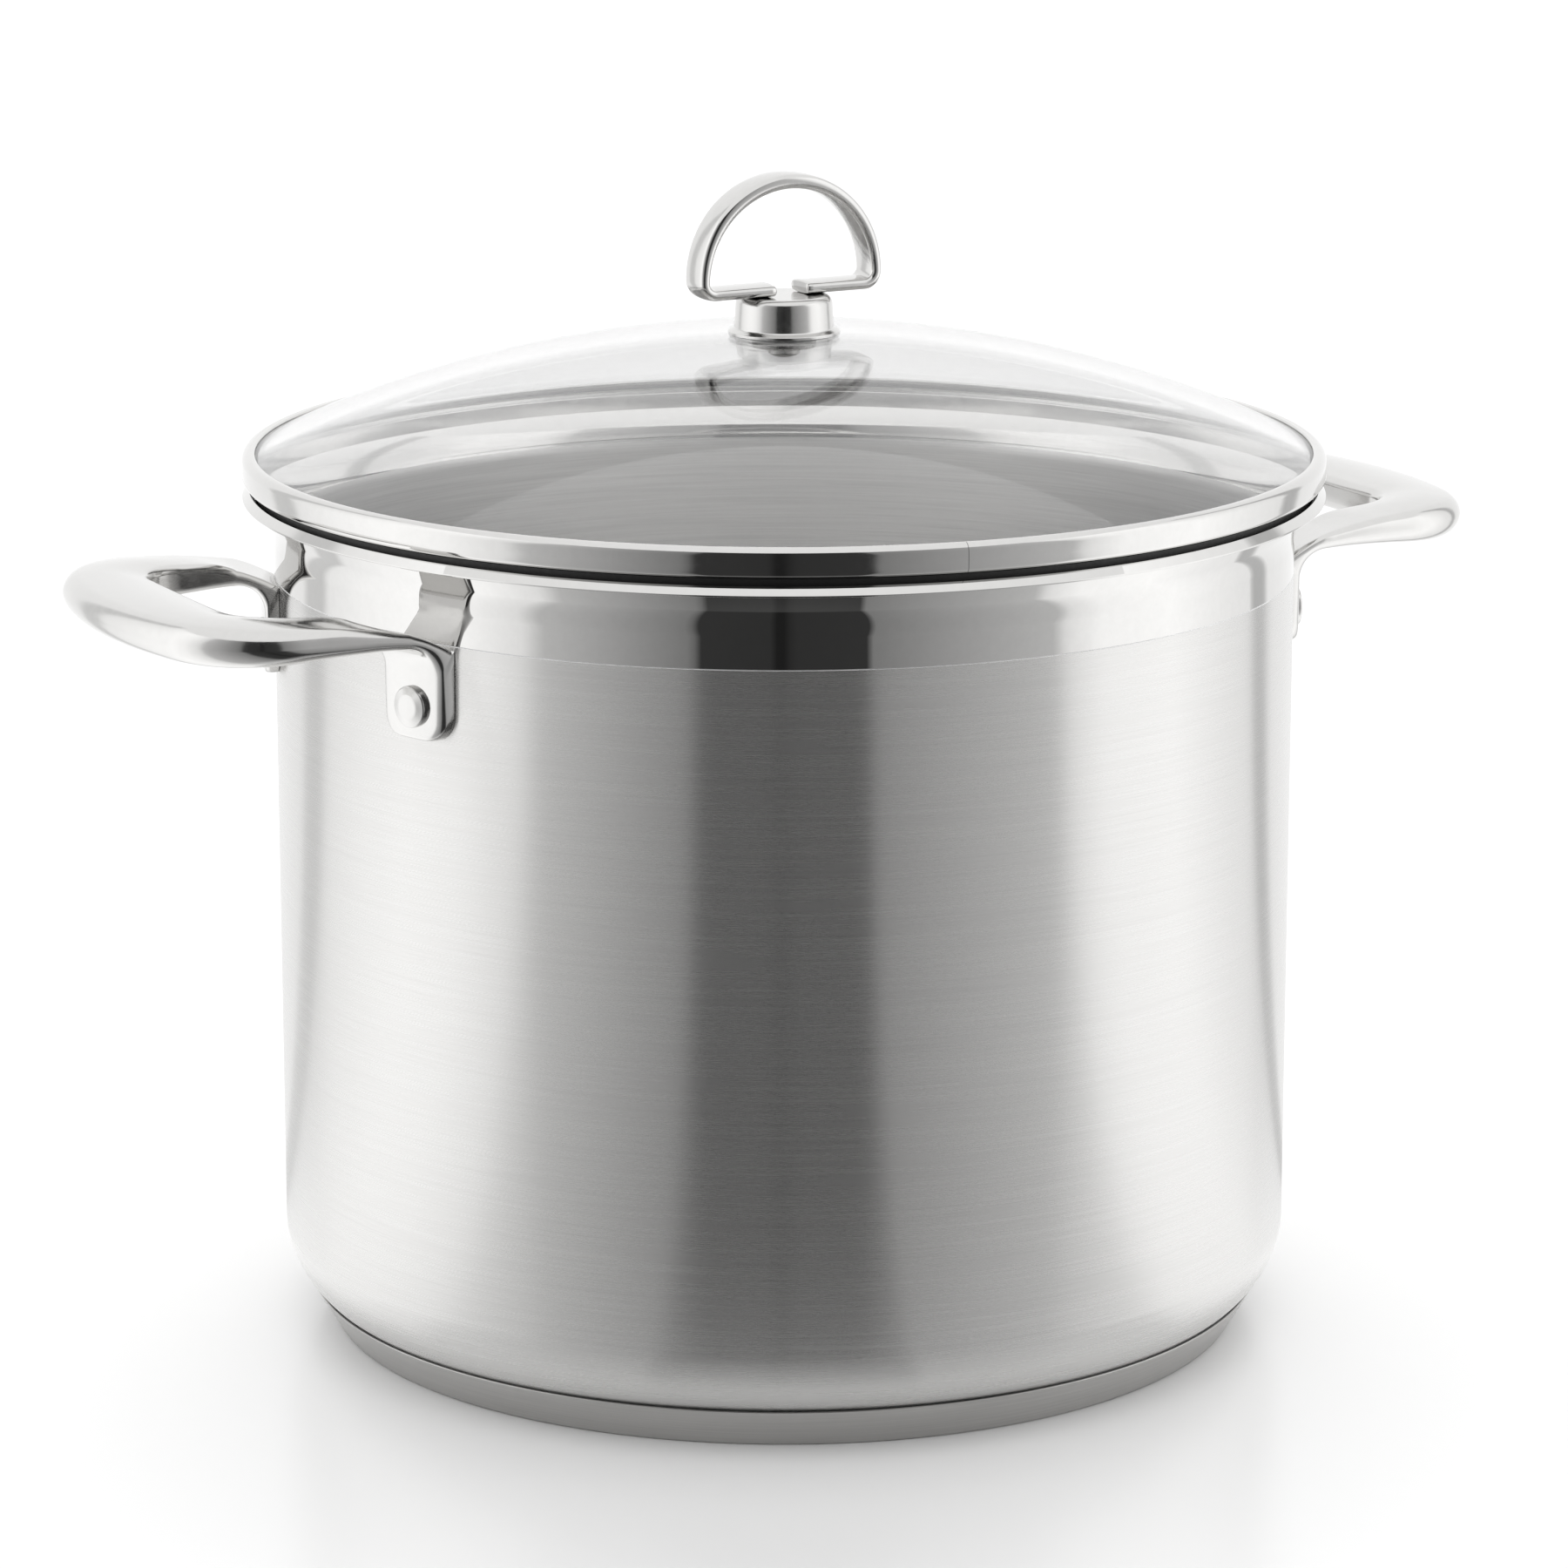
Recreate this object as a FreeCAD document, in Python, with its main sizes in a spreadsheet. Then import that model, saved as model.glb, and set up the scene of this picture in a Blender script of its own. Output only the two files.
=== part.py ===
import FreeCAD, Part
import math
import os
import re

import Sketcher
from FreeCAD import Placement, Rotation, Vector

# A lidded stock pot, 24 cm inside, in millimetres.
# Origin: centre of the face it stands on. +Z is up and the two handles lie on +X and -X.

# ---------------------------------------------------------------- driving dimensions
SIZES = {
    # pot body: a drawn sheet, flared at the top into a rolled lip
    "wall_radius": 120.8,
    "wall_thickness": 0.8,
    "floor_height": 5.0,
    "corner_radius": 20.0,
    "flare_start": 190.0,
    "flare_radius": 12.4,
    "flare_angle": 55.0,
    "lip_radius": 126.7,
    "lip_height": 201.3,
    "lip_bead": 1.3,
    "etch_height": 182.7,
    "etch_width": 0.3,
    "etch_depth": 0.12,
    # encapsulated base: a steel cap round an aluminium disc
    "cap_thickness": 0.6,
    "cap_foot_radius": 109.1,
    "cap_rim_radius": 114.9,
    "cap_height": 9.8,
    "cap_foot_round": 1.4,
    "core_height": 8.6,
    # handles: pads riveted to the wall, legs bent outwards, a thicker grip
    "handle_reach": 174.8,
    "pad_bottom": 160.7,
    "pad_thickness": 3.4,
    "pad_corner": 5.0,
    "leg_inner": 32.6,
    "leg_outer": 50.0,
    "leg_underside": 183.6,
    "leg_top": 188.6,
    "underside_bend": 7.0,
    "top_bend": 11.0,
    "grip_start": 147.0,
    "grip_end": 180.0,
    "grip_bulge": 2.4,
    "grip_tip_radius": 122.0,
    "grip_corner": 26.0,
    "grip_blend": 22.0,
    "window_reach": 153.0,
    "window_corner": 13.0,
    "handle_edge": 1.6,
    "handle_flange_angle": 60.0,
    # rivets
    "rivet_height": 168.3,
    "rivet_spread": 19.7,
    "rivet_shank": 2.2,
    "rivet_hole": 2.25,
    "rivet_head": 4.8,
    "rivet_head_height": 1.9,
    "rivet_head_rim": 0.9,
    "rivet_inner_head": 5.0,
    "rivet_inner_height": 1.4,
    "rivet_inner_rim": 0.5,
    # glass dome
    "dome_radius": 296.0,
    "dome_apex": 238.1,
    "glass_thickness": 3.8,
    "glass_radius": 126.6,
    "glass_hole": 5.0,
    "glass_edge": 1.0,
    # steel ring round the glass, with its skirt
    "ring_radius": 128.0,
    "ring_bottom": 204.8,
    "ring_top": 211.1,
    "ring_sheet": 0.5,
    "ring_mouth": 124.8,
    "ring_corner": 0.9,
    "ring_channel": 127.3,
    "skirt_gap": 0.4,
    "skirt_top": 200.5,
    "skirt_bottom": 193.4,
    "skirt_neck": 124.65,
    # knob cup
    "flange_radius": 13.2,
    "flange_bottom": 237.9,
    "flange_thickness": 0.6,
    "cup_radius": 11.8,
    "cup_foot": 239.2,
    "cup_top_radius": 11.3,
    "cup_top": 246.9,
    "cup_shoulder": 2.0,
    "cup_sheet": 0.8,
    # knob loop: a strip bent into a D whose two ends stand on the cup
    "loop_radius": 24.3,
    "loop_corner": 4.6,
    "loop_strip": 3.0,
    "loop_crown": 3.8,
    "loop_width": 9.2,
    "loop_gap": 4.2,
    "loop_edge": 0.9,
    # fastening stack through the glass
    "nut_bottom": 239.5,
    "nut_radius": 5.2,
    "nut_bore": 2.5,
    "gasket_inner": 6.2,
    "gasket_outer": 10.4,
    "gasket_thickness": 1.0,
    "bushing_inner": 2.9,
    "bushing_outer": 4.9,
    "seal_top": 234.15,
    "seal_radius": 7.6,
    "seal_thickness": 0.8,
    "washer_radius": 7.5,
    "washer_thickness": 1.0,
    "washer_edge": 0.3,
    "screw_radius": 2.4,
    "screw_head": 3.8,
    "screw_head_height": 2.1,
    "screw_head_dome": 0.9,
    "screw_top": 244.2,
    "recess_arm": 2.1,
    "recess_half": 0.45,
    "recess_depth": 1.2,
}

doc = FreeCAD.newDocument("StockPot")
sheet = doc.addObject("Spreadsheet::Sheet", "Sizes")
for row, (alias, value) in enumerate(SIZES.items(), start=1):
    sheet.set(f"A{row}", alias)
    sheet.set(f"B{row}", str(value))
    sheet.setAlias(f"B{row}", alias)
doc.recompute()


# ---------------------------------------------------------------- working with the sheet
def formula(text):
    """The text as an expression, with every size name pointed at the sheet."""
    return re.sub(r"[a-z][a-z_]*", lambda m: f"Sizes.{m[0]}" if m[0] in SIZES else m[0], text)


def number(text):
    """The value that a formula has now."""
    return float(sheet.evalExpression(formula(text)))


def bind(thing, prop, text):
    thing.setExpression(prop, formula(text))


def new_body(label):
    body = doc.addObject("PartDesign::Body", label)
    body.Label = label
    return body


# ---------------------------------------------------------------- sketches
def new_sketch(body, name, role, offset=None):
    """An empty sketch on one of the body's origin planes, raised by a formula if one is given."""
    sketch = body.newObject("Sketcher::SketchObject", name)
    plane = next(feature for feature in body.Origin.OriginFeatures if feature.Role == role)
    sketch.AttachmentSupport = [(plane, "")]
    sketch.MapMode = "FlatFace"
    if offset:
        bind(sketch, ".AttachmentOffset.Base.z", offset)
    return sketch


def fix_value(sketch, kind, geometry, point, text):
    """Fixes one coordinate of a point by a formula."""
    index = sketch.addConstraint(Sketcher.Constraint(kind, geometry, point, number(text)))
    sketch.renameConstraint(index, f"size{index}")
    bind(sketch, f"Constraints.size{index}", text)


def fix_radius(sketch, geometry, text):
    index = sketch.addConstraint(Sketcher.Constraint("Radius", geometry, number(text)))
    sketch.renameConstraint(index, f"size{index}")
    bind(sketch, f"Constraints.size{index}", text)


def arc_between(start, end, radius, side):
    """The short arc from start to end. Its centre lies to the left (side 1) or the right (side -1)."""
    chord = end - start
    reach = math.sqrt(radius ** 2 - (chord.Length / 2) ** 2)
    left = Vector(-chord.y, chord.x, 0) / chord.Length
    centre = (start + end) / 2 + left * reach * side
    first, last = (start, end) if side > 0 else (end, start)
    angles = [math.atan2(p.y - centre.y, p.x - centre.x) for p in (first, last)]
    return Part.ArcOfCircle(Part.Circle(centre, Vector(0, 0, 1), radius), *angles)


def add_loop(sketch, corners, arcs=None):
    """A closed outline through corners given as (x, y) formulas.

    arcs says which sides are round: {side number: (radius formula, 1 or -1 for the centre's side)}.
    """
    arcs = arcs or {}
    points = [Vector(number(x), number(y), 0) for x, y in corners]
    sides = []
    for i, start in enumerate(points):
        end = points[(i + 1) % len(points)]
        if i in arcs:
            radius, side = arcs[i]
            geometry = sketch.addGeometry(arc_between(start, end, number(radius), side))
            ends = (1, 2) if side > 0 else (2, 1)
        else:
            geometry = sketch.addGeometry(Part.LineSegment(start, end))
            ends = (1, 2)
        sides.append((geometry, *ends))
    for i, (geometry, start, end) in enumerate(sides):
        following, following_start, _ = sides[(i + 1) % len(sides)]
        sketch.addConstraint(Sketcher.Constraint("Coincident", geometry, end, following, following_start))
        x, y = corners[i]
        fix_value(sketch, "DistanceX", geometry, start, x)
        fix_value(sketch, "DistanceY", geometry, start, y)
        if i in arcs:
            fix_radius(sketch, geometry, arcs[i][0])


def add_circle(sketch, x, y, radius):
    centre = Vector(number(x), number(y), 0)
    geometry = sketch.addGeometry(Part.Circle(centre, Vector(0, 0, 1), number(radius)))
    fix_value(sketch, "DistanceX", geometry, 3, x)
    fix_value(sketch, "DistanceY", geometry, 3, y)
    fix_radius(sketch, geometry, radius)


# ---------------------------------------------------------------- features
def revolve(body, sketch, name, kind="Revolution", axis="V_Axis"):
    feature = body.newObject(f"PartDesign::{kind}", name)
    feature.Profile = sketch
    feature.ReferenceAxis = (sketch, [axis])
    feature.Angle = 360
    return feature


def pad(body, sketch, name, length, midplane=False):
    feature = body.newObject("PartDesign::Pad", name)
    feature.Profile = sketch
    feature.Midplane = midplane
    bind(feature, "Length", length)
    return feature


def cut_through(body, sketch, name):
    """A pocket that runs both ways through the whole body."""
    doc.recompute()
    before = body.Shape.Volume
    feature = body.newObject("PartDesign::Pocket", name)
    feature.Profile = sketch
    feature.Type = "ThroughAll"
    feature.Midplane = True
    doc.recompute()
    if body.Shape.Volume >= before:
        raise RuntimeError(f"{name} cuts nothing")
    return feature


def round_edges(body, name, radius, picked):
    """Rounds every edge of the body for which picked(edge) is true."""
    doc.recompute()
    base = body.Tip
    edges = [f"Edge{i}" for i, edge in enumerate(base.Shape.Edges, start=1) if picked(edge)]
    feature = body.newObject("PartDesign::Fillet", name)
    feature.Base = (base, edges)
    bind(feature, "Radius", radius)
    return feature


def ring_edge(radius, height):
    """Picks the circular edges about the Z axis with this radius at this height."""
    at_radius, at_height = number(radius), number(height)

    def picked(edge):
        curve = edge.Curve
        if not isinstance(curve, Part.Circle):
            return False
        same_radius = abs(curve.Radius - at_radius) < 0.02
        return same_radius and abs(curve.Center.z - at_height) < 0.02
    return picked


def radial_hole(body, name, azimuth):
    """A rivet hole along the line at this azimuth (a formula in degrees), through both walls."""
    doc.recompute()
    before = body.Shape.Volume
    hole = body.newObject("PartDesign::SubtractiveCylinder", name)
    bind(hole, "Radius", "rivet_hole")
    bind(hole, "Height", "2 * handle_reach")
    turn = Rotation(Vector(0, 0, 1), number(azimuth)) * Rotation(Vector(0, 1, 0), 90)
    start = turn.multVec(Vector(0, 0, -number("handle_reach")))
    hole.Placement = Placement(start + Vector(0, 0, number("rivet_height")), turn)
    doc.recompute()
    if body.Shape.Volume >= before:
        raise RuntimeError(f"{name} cuts nothing")


def revolved_body(label, corners, arcs=None):
    """A body turned from one closed section in the XZ plane."""
    body = new_body(label)
    sketch = new_sketch(body, f"{label}_section", "XZ_Plane")
    add_loop(sketch, corners, arcs)
    revolve(body, sketch, f"{label}_turned")
    return body


def washer_body(label, inner, outer, bottom, thickness):
    """A flat ring about the Z axis."""
    body = new_body(label)
    sketch = new_sketch(body, f"{label}_ring", "XY_Plane", bottom)
    add_circle(sketch, "0", "0", outer)
    add_circle(sketch, "0", "0", inner)
    pad(body, sketch, f"{label}_pad", thickness)
    return body


# ---------------------------------------------------------------- pot body
INNER_WALL = "wall_radius - wall_thickness"


def make_pot_body():
    flare_out = "wall_radius + flare_radius - flare_radius * cos(flare_angle)"
    flare_up = "flare_start + flare_radius * sin(flare_angle)"
    inner_flare = "(flare_radius + wall_thickness)"
    body = revolved_body("pot_body", [
        ("0", "floor_height"),
        ("wall_radius - corner_radius", "floor_height"),
        ("wall_radius", "floor_height + corner_radius"),
        ("wall_radius", "flare_start"),
        (flare_out, flare_up),
        (f"wall_radius + flare_radius - {inner_flare} * cos(flare_angle)",
         f"flare_start + {inner_flare} * sin(flare_angle)"),
        (INNER_WALL, "flare_start"),
        (INNER_WALL, "floor_height + corner_radius"),
        ("wall_radius - corner_radius", "floor_height + wall_thickness"),
        ("0", "floor_height + wall_thickness"),
    ], {
        1: ("corner_radius", 1),
        3: ("flare_radius", -1),
        5: (inner_flare, 1),
        7: ("corner_radius - wall_thickness", -1),
    })
    bead = new_sketch(body, "lip_bead_section", "XZ_Plane")
    add_circle(bead, "lip_radius", "lip_height", "lip_bead")
    revolve(body, bead, "lip_bead")
    line = new_sketch(body, "etched_line_section", "XZ_Plane")
    add_loop(line, [
        ("wall_radius - etch_depth", "etch_height - etch_width / 2"),
        ("wall_radius + etch_depth", "etch_height - etch_width / 2"),
        ("wall_radius + etch_depth", "etch_height + etch_width / 2"),
        ("wall_radius - etch_depth", "etch_height + etch_width / 2"),
    ])
    revolve(body, line, "etched_line", "Groove")
    radial_hole(body, "rivet_holes_a", "rivet_spread")
    radial_hole(body, "rivet_holes_b", "-rivet_spread")


# ---------------------------------------------------------------- encapsulated base
def make_base_cap():
    body = revolved_body("base_cap", [
        ("0", "0"),
        ("cap_foot_radius", "0"),
        ("cap_rim_radius", "cap_height"),
        ("cap_rim_radius - cap_thickness", "cap_height"),
        ("cap_foot_radius - cap_thickness", "cap_thickness"),
        ("0", "cap_thickness"),
    ])
    round_edges(body, "cap_foot_rounding", "cap_foot_round", ring_edge("cap_foot_radius", "0"))


def make_base_core():
    """Fills the cap up to the rounded bottom corner of the pot."""
    slope = "(cap_rim_radius - cap_foot_radius) / (cap_height - cap_thickness)"
    corner_drop = "(floor_height + corner_radius - core_height)"
    revolved_body("base_core", [
        ("0", "cap_thickness"),
        ("cap_foot_radius - cap_thickness", "cap_thickness"),
        (f"cap_foot_radius - cap_thickness + {slope} * (core_height - cap_thickness)", "core_height"),
        (f"wall_radius - corner_radius + sqrt(corner_radius^2 - {corner_drop}^2)", "core_height"),
        ("wall_radius - corner_radius", "floor_height"),
        ("0", "floor_height"),
    ], {3: ("corner_radius", -1)})


# ---------------------------------------------------------------- handles
def handle_section(sketch):
    """Pad, bend, leg and grip, in the plane through the pot's axis."""
    bulge_radius = "(((grip_end - grip_start) / 2)^2 + grip_bulge^2) / (2 * grip_bulge)"
    add_loop(sketch, [
        ("wall_radius", "pad_bottom"),
        ("wall_radius + pad_thickness", "pad_bottom"),
        ("wall_radius + pad_thickness", "leg_underside - underside_bend"),
        ("wall_radius + pad_thickness + underside_bend", "leg_underside"),
        ("grip_start", "leg_underside"),
        ("grip_end", "leg_underside"),
        ("grip_end", "leg_top"),
        ("grip_start", "leg_top"),
        ("wall_radius + top_bend", "leg_top"),
        ("wall_radius", "leg_top - top_bend"),
    ], {
        2: ("underside_bend", -1),
        4: (bulge_radius, 1),
        6: (bulge_radius, 1),
        8: ("top_bend", 1),
    })


def handle_outline(sketch):
    """Everything outside the handle's plan: a frame round the outline, to be cut away."""
    tip_centre = "(handle_reach - grip_tip_radius)"
    corner_v = "(leg_outer - grip_corner)"
    centre_gap = "(grip_tip_radius - grip_corner)"
    corner_u = f"({tip_centre} + sqrt({centre_gap}^2 - {corner_v}^2))"
    meet_u = f"{tip_centre} + ({corner_u} - {tip_centre}) * grip_tip_radius / {centre_gap}"
    meet_v = f"{corner_v} * grip_tip_radius / {centre_gap}"
    root = "wall_radius - 2 * pad_thickness - grip_corner"
    add_loop(sketch, [
        (root, "-leg_outer"),
        (corner_u, "-leg_outer"),
        (meet_u, f"-{meet_v}"),
        (meet_u, meet_v),
        (corner_u, "leg_outer"),
        (root, "leg_outer"),
    ], {
        1: ("grip_corner", 1),
        2: ("grip_tip_radius", 1),
        3: ("grip_corner", 1),
    })
    add_loop(sketch, [
        ("0", "-2 * leg_outer"),
        ("2 * grip_end", "-2 * leg_outer"),
        ("2 * grip_end", "2 * leg_outer"),
        ("0", "2 * leg_outer"),
    ])


def handle_window(sketch):
    """The opening for the fingers, from the wall to the grip."""
    root = "wall_radius - 2 * pad_thickness - grip_corner"
    add_loop(sketch, [
        (root, "-leg_inner"),
        ("window_reach - window_corner", "-leg_inner"),
        ("window_reach", "-leg_inner + window_corner"),
        ("window_reach", "leg_inner - window_corner"),
        ("window_reach - window_corner", "leg_inner"),
        (root, "leg_inner"),
    ], {
        1: ("window_corner", 1),
        3: ("window_corner", 1),
    })


def pad_corner_edge(edge):
    """The short level edges at the bottom of the pads, on their two sides."""
    low = all(abs(v.Z - number("pad_bottom")) < 0.01 for v in edge.Vertexes)
    sides = [abs(v.Y) for v in edge.Vertexes]
    on_one_side = abs(sides[0] - sides[-1]) < 0.01
    return low and on_one_side and edge.Length < 2 * number("pad_thickness")


def bend_leg_or_grip_edge(edge):
    """Edges above the rivet heads, but not the shortest ones."""
    above_rivets = edge.BoundBox.ZMin > number("rivet_height + rivet_head")
    return above_rivets and edge.Length > 2 * number("handle_edge")


def make_handle(label, turn):
    body = new_body(label)
    section = new_sketch(body, f"{label}_section", "XZ_Plane")
    handle_section(section)
    flange = revolve(body, section, f"{label}_flange")
    flange.Midplane = True
    bind(flange, "Angle", "handle_flange_angle")
    round_edges(body, f"{label}_grip_blend", "grip_blend", lambda edge: (
        ring_edge("grip_start", "leg_underside")(edge) or ring_edge("grip_start", "leg_top")(edge)))
    outline = new_sketch(body, f"{label}_outline", "XY_Plane")
    handle_outline(outline)
    cut_through(body, outline, f"{label}_plan")
    window = new_sketch(body, f"{label}_window", "XY_Plane")
    handle_window(window)
    cut_through(body, window, f"{label}_opening")
    round_edges(body, f"{label}_pad_corners", "pad_corner", pad_corner_edge)
    radial_hole(body, f"{label}_hole_a", "rivet_spread")
    radial_hole(body, f"{label}_hole_b", "-rivet_spread")
    round_edges(body, f"{label}_edges", "handle_edge", bend_leg_or_grip_edge)
    body.Placement = Placement(Vector(0, 0, 0), Rotation(Vector(0, 0, 1), turn))


# ---------------------------------------------------------------- rivets
def make_rivet(label, azimuth):
    """A rivet through pad and wall, turned about its own radial axis."""
    body = new_body(label)
    section = new_sketch(body, f"{label}_section", "XZ_Plane")
    inner_seat = f"sqrt(({INNER_WALL})^2 - rivet_inner_head^2)"
    outer_seat = "(wall_radius + pad_thickness)"
    inner_dome = "(rivet_inner_height - rivet_inner_rim)"
    outer_dome = "(rivet_head_height - rivet_head_rim)"
    add_loop(section, [
        (f"{inner_seat} - rivet_inner_height", "0"),
        (f"{inner_seat} - rivet_inner_rim", "rivet_inner_head"),
        (inner_seat, "rivet_inner_head"),
        (inner_seat, "rivet_shank"),
        (outer_seat, "rivet_shank"),
        (outer_seat, "rivet_head"),
        (f"{outer_seat} + rivet_head_rim", "rivet_head"),
        (f"{outer_seat} + rivet_head_height", "0"),
    ], {
        0: (f"(rivet_inner_head^2 + {inner_dome}^2) / (2 * {inner_dome})", -1),
        6: (f"(rivet_head^2 + {outer_dome}^2) / (2 * {outer_dome})", -1),
    })
    revolve(body, section, f"{label}_turned", axis="H_Axis")
    turn = Rotation(Vector(0, 0, 1), number(azimuth))
    body.Placement = Placement(Vector(0, 0, number("rivet_height")), turn)


# ---------------------------------------------------------------- lid
DOME_CENTRE = "(dome_apex - dome_radius)"


def dome_height(radius, thickness="0"):
    """Height of the dome's top face, or of a face this far below it, at a distance from the axis."""
    return f"{DOME_CENTRE} + sqrt((dome_radius - {thickness})^2 - ({radius})^2)"


def make_lid_glass():
    body = revolved_body("lid_glass", [
        ("glass_hole", dome_height("glass_hole", "glass_thickness")),
        ("glass_radius", dome_height("glass_radius", "glass_thickness")),
        ("glass_radius", dome_height("glass_radius")),
        ("glass_hole", dome_height("glass_hole")),
    ], {
        0: ("dome_radius - glass_thickness", -1),
        2: ("dome_radius", 1),
    })
    round_edges(body, "glass_top_edge", "glass_edge",
                ring_edge("glass_radius", dome_height("glass_radius")))


def make_lid_ring():
    """A folded band: top lip over the glass, outer face, shelf under the glass, nested skirt."""
    flare_centre = "(wall_radius + flare_radius)"
    outer_skirt = "(flare_radius + wall_thickness + skirt_gap)"
    inner_skirt = f"({outer_skirt} + ring_sheet)"

    def skirt_point(radius, height):
        return (f"{flare_centre} - sqrt({radius}^2 - ({height} - flare_start)^2)", height)

    shelf = "ring_bottom + ring_sheet"
    body = revolved_body("lid_ring", [
        ("ring_radius", "ring_bottom"),
        ("ring_radius", "ring_top"),
        ("ring_mouth", "ring_top"),
        ("ring_mouth", dome_height("ring_mouth")),
        ("ring_channel", dome_height("ring_channel")),
        ("ring_channel", shelf),
        ("skirt_neck - ring_sheet", shelf),
        skirt_point(inner_skirt, "skirt_top"),
        skirt_point(inner_skirt, "skirt_bottom"),
        skirt_point(outer_skirt, "skirt_bottom"),
        skirt_point(outer_skirt, "skirt_top"),
        ("skirt_neck", "ring_bottom"),
    ], {
        7: (inner_skirt, 1),
        9: (outer_skirt, -1),
    })
    for name, height in (("ring_lower_bead", "ring_bottom"), ("ring_upper_bead", "ring_top")):
        round_edges(body, name, "ring_corner", ring_edge("ring_radius", height))


# ---------------------------------------------------------------- knob
def make_knob_cup():
    revolved_body("knob_cup", [
        ("flange_radius", "flange_bottom"),
        ("flange_radius", "flange_bottom + flange_thickness"),
        ("cup_radius", "cup_foot"),
        ("cup_top_radius", "cup_top - cup_shoulder"),
        ("cup_top_radius - cup_shoulder", "cup_top"),
        ("0", "cup_top"),
        ("0", "cup_top - cup_sheet"),
        ("cup_top_radius - cup_shoulder", "cup_top - cup_sheet"),
        ("cup_top_radius - cup_sheet", "cup_top - cup_shoulder"),
        ("cup_radius - cup_sheet", "cup_foot - flange_thickness"),
        ("flange_radius - flange_thickness", "flange_bottom"),
    ], {
        3: ("cup_shoulder", 1),
        7: ("cup_shoulder - cup_sheet", -1),
    })


def make_knob_loop():
    """A D of flat strip, thicker at its crown, standing on the cup with a gap between its ends."""
    body = new_body("knob_loop")
    sketch = new_sketch(body, "knob_loop_outline", "XZ_Plane")
    inner_half = "(loop_radius - loop_strip)"
    inner_corner = "(loop_corner - loop_strip)"
    inner_rise = "(loop_radius - loop_crown)"
    crown_radius = f"({inner_half}^2 + {inner_rise}^2) / (2 * {inner_rise})"
    widest = "cup_top + loop_corner"
    upper_leg = "cup_top + loop_strip"
    add_loop(sketch, [
        ("loop_gap", "cup_top"),
        ("loop_radius - loop_corner", "cup_top"),
        ("loop_radius", widest),
        ("0", f"{widest} + loop_radius"),
        ("-loop_radius", widest),
        ("-(loop_radius - loop_corner)", "cup_top"),
        ("-loop_gap", "cup_top"),
        ("-loop_gap", upper_leg),
        (f"-({inner_half} - {inner_corner})", upper_leg),
        (f"-{inner_half}", widest),
        ("0", f"{widest} + {inner_rise}"),
        (inner_half, widest),
        (f"{inner_half} - {inner_corner}", upper_leg),
        ("loop_gap", upper_leg),
    ], {
        1: ("loop_corner", 1),
        2: ("loop_radius", 1),
        3: ("loop_radius", 1),
        4: ("loop_corner", 1),
        8: (inner_corner, -1),
        9: (crown_radius, -1),
        10: (crown_radius, -1),
        11: (inner_corner, -1),
    })
    pad(body, sketch, "knob_loop_strip", "loop_width", midplane=True)
    half_width = number("loop_width / 2")
    round_edges(body, "knob_loop_edges", "loop_edge", lambda edge: (
        all(abs(abs(v.Y) - half_width) < 0.01 for v in edge.Vertexes)
        and edge.BoundBox.YLength < 0.01))


def make_knob_nut():
    """A hexagonal threaded boss welded under the top of the cup."""
    body = new_body("knob_nut")
    sketch = new_sketch(body, "knob_nut_hexagon", "XY_Plane", "nut_bottom")
    add_loop(sketch, [
        (f"nut_radius * cos({angle})", f"nut_radius * sin({angle})") for angle in range(0, 360, 60)
    ])
    add_circle(sketch, "0", "0", "nut_bore")
    pad(body, sketch, "knob_nut_pad", "cup_top - cup_sheet - nut_bottom")


def make_knob_screw():
    """A pan head screw that comes up through the glass into the boss."""
    seat = "seal_top - seal_thickness - washer_thickness"
    dome = "screw_head_dome"
    body = revolved_body("knob_screw", [
        ("0", f"{seat} - screw_head_height"),
        ("screw_head", f"{seat} - screw_head_height + {dome}"),
        ("screw_head", seat),
        ("screw_radius", seat),
        ("screw_radius", "screw_top"),
        ("0", "screw_top"),
    ], {0: (f"(screw_head^2 + {dome}^2) / (2 * {dome})", 1)})
    recess = new_sketch(body, "recess_cross", "XY_Plane", f"{seat} - screw_head_height")
    arm, half = "recess_arm", "recess_half"
    add_loop(recess, [
        (arm, f"-{half}"), (arm, half), (half, half), (half, arm),
        (f"-{half}", arm), (f"-{half}", half), (f"-{arm}", half), (f"-{arm}", f"-{half}"),
        (f"-{half}", f"-{half}"), (f"-{half}", f"-{arm}"), (half, f"-{arm}"), (half, f"-{half}"),
    ])
    doc.recompute()
    before = body.Shape.Volume
    pocket = body.newObject("PartDesign::Pocket", "recess")
    pocket.Profile = recess
    pocket.Reversed = True
    bind(pocket, "Length", "recess_depth")
    doc.recompute()
    if body.Shape.Volume >= before:
        raise RuntimeError("the recess cuts nothing")


def make_knob_stack():
    make_knob_cup()
    make_knob_loop()
    make_knob_nut()
    washer_body("knob_gasket", "gasket_inner", "gasket_outer", dome_height("gasket_inner"),
                "gasket_thickness")
    washer_body("glass_bushing", "bushing_inner", "bushing_outer", "seal_top",
                "dome_apex - seal_top")
    washer_body("seal_washer", "bushing_inner", "seal_radius", "seal_top - seal_thickness",
                "seal_thickness")
    washer = washer_body("knob_washer", "bushing_inner", "washer_radius",
                         "seal_top - seal_thickness - washer_thickness", "washer_thickness")
    round_edges(washer, "knob_washer_edge", "washer_edge",
                ring_edge("washer_radius", "seal_top - seal_thickness - washer_thickness"))
    make_knob_screw()


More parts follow.
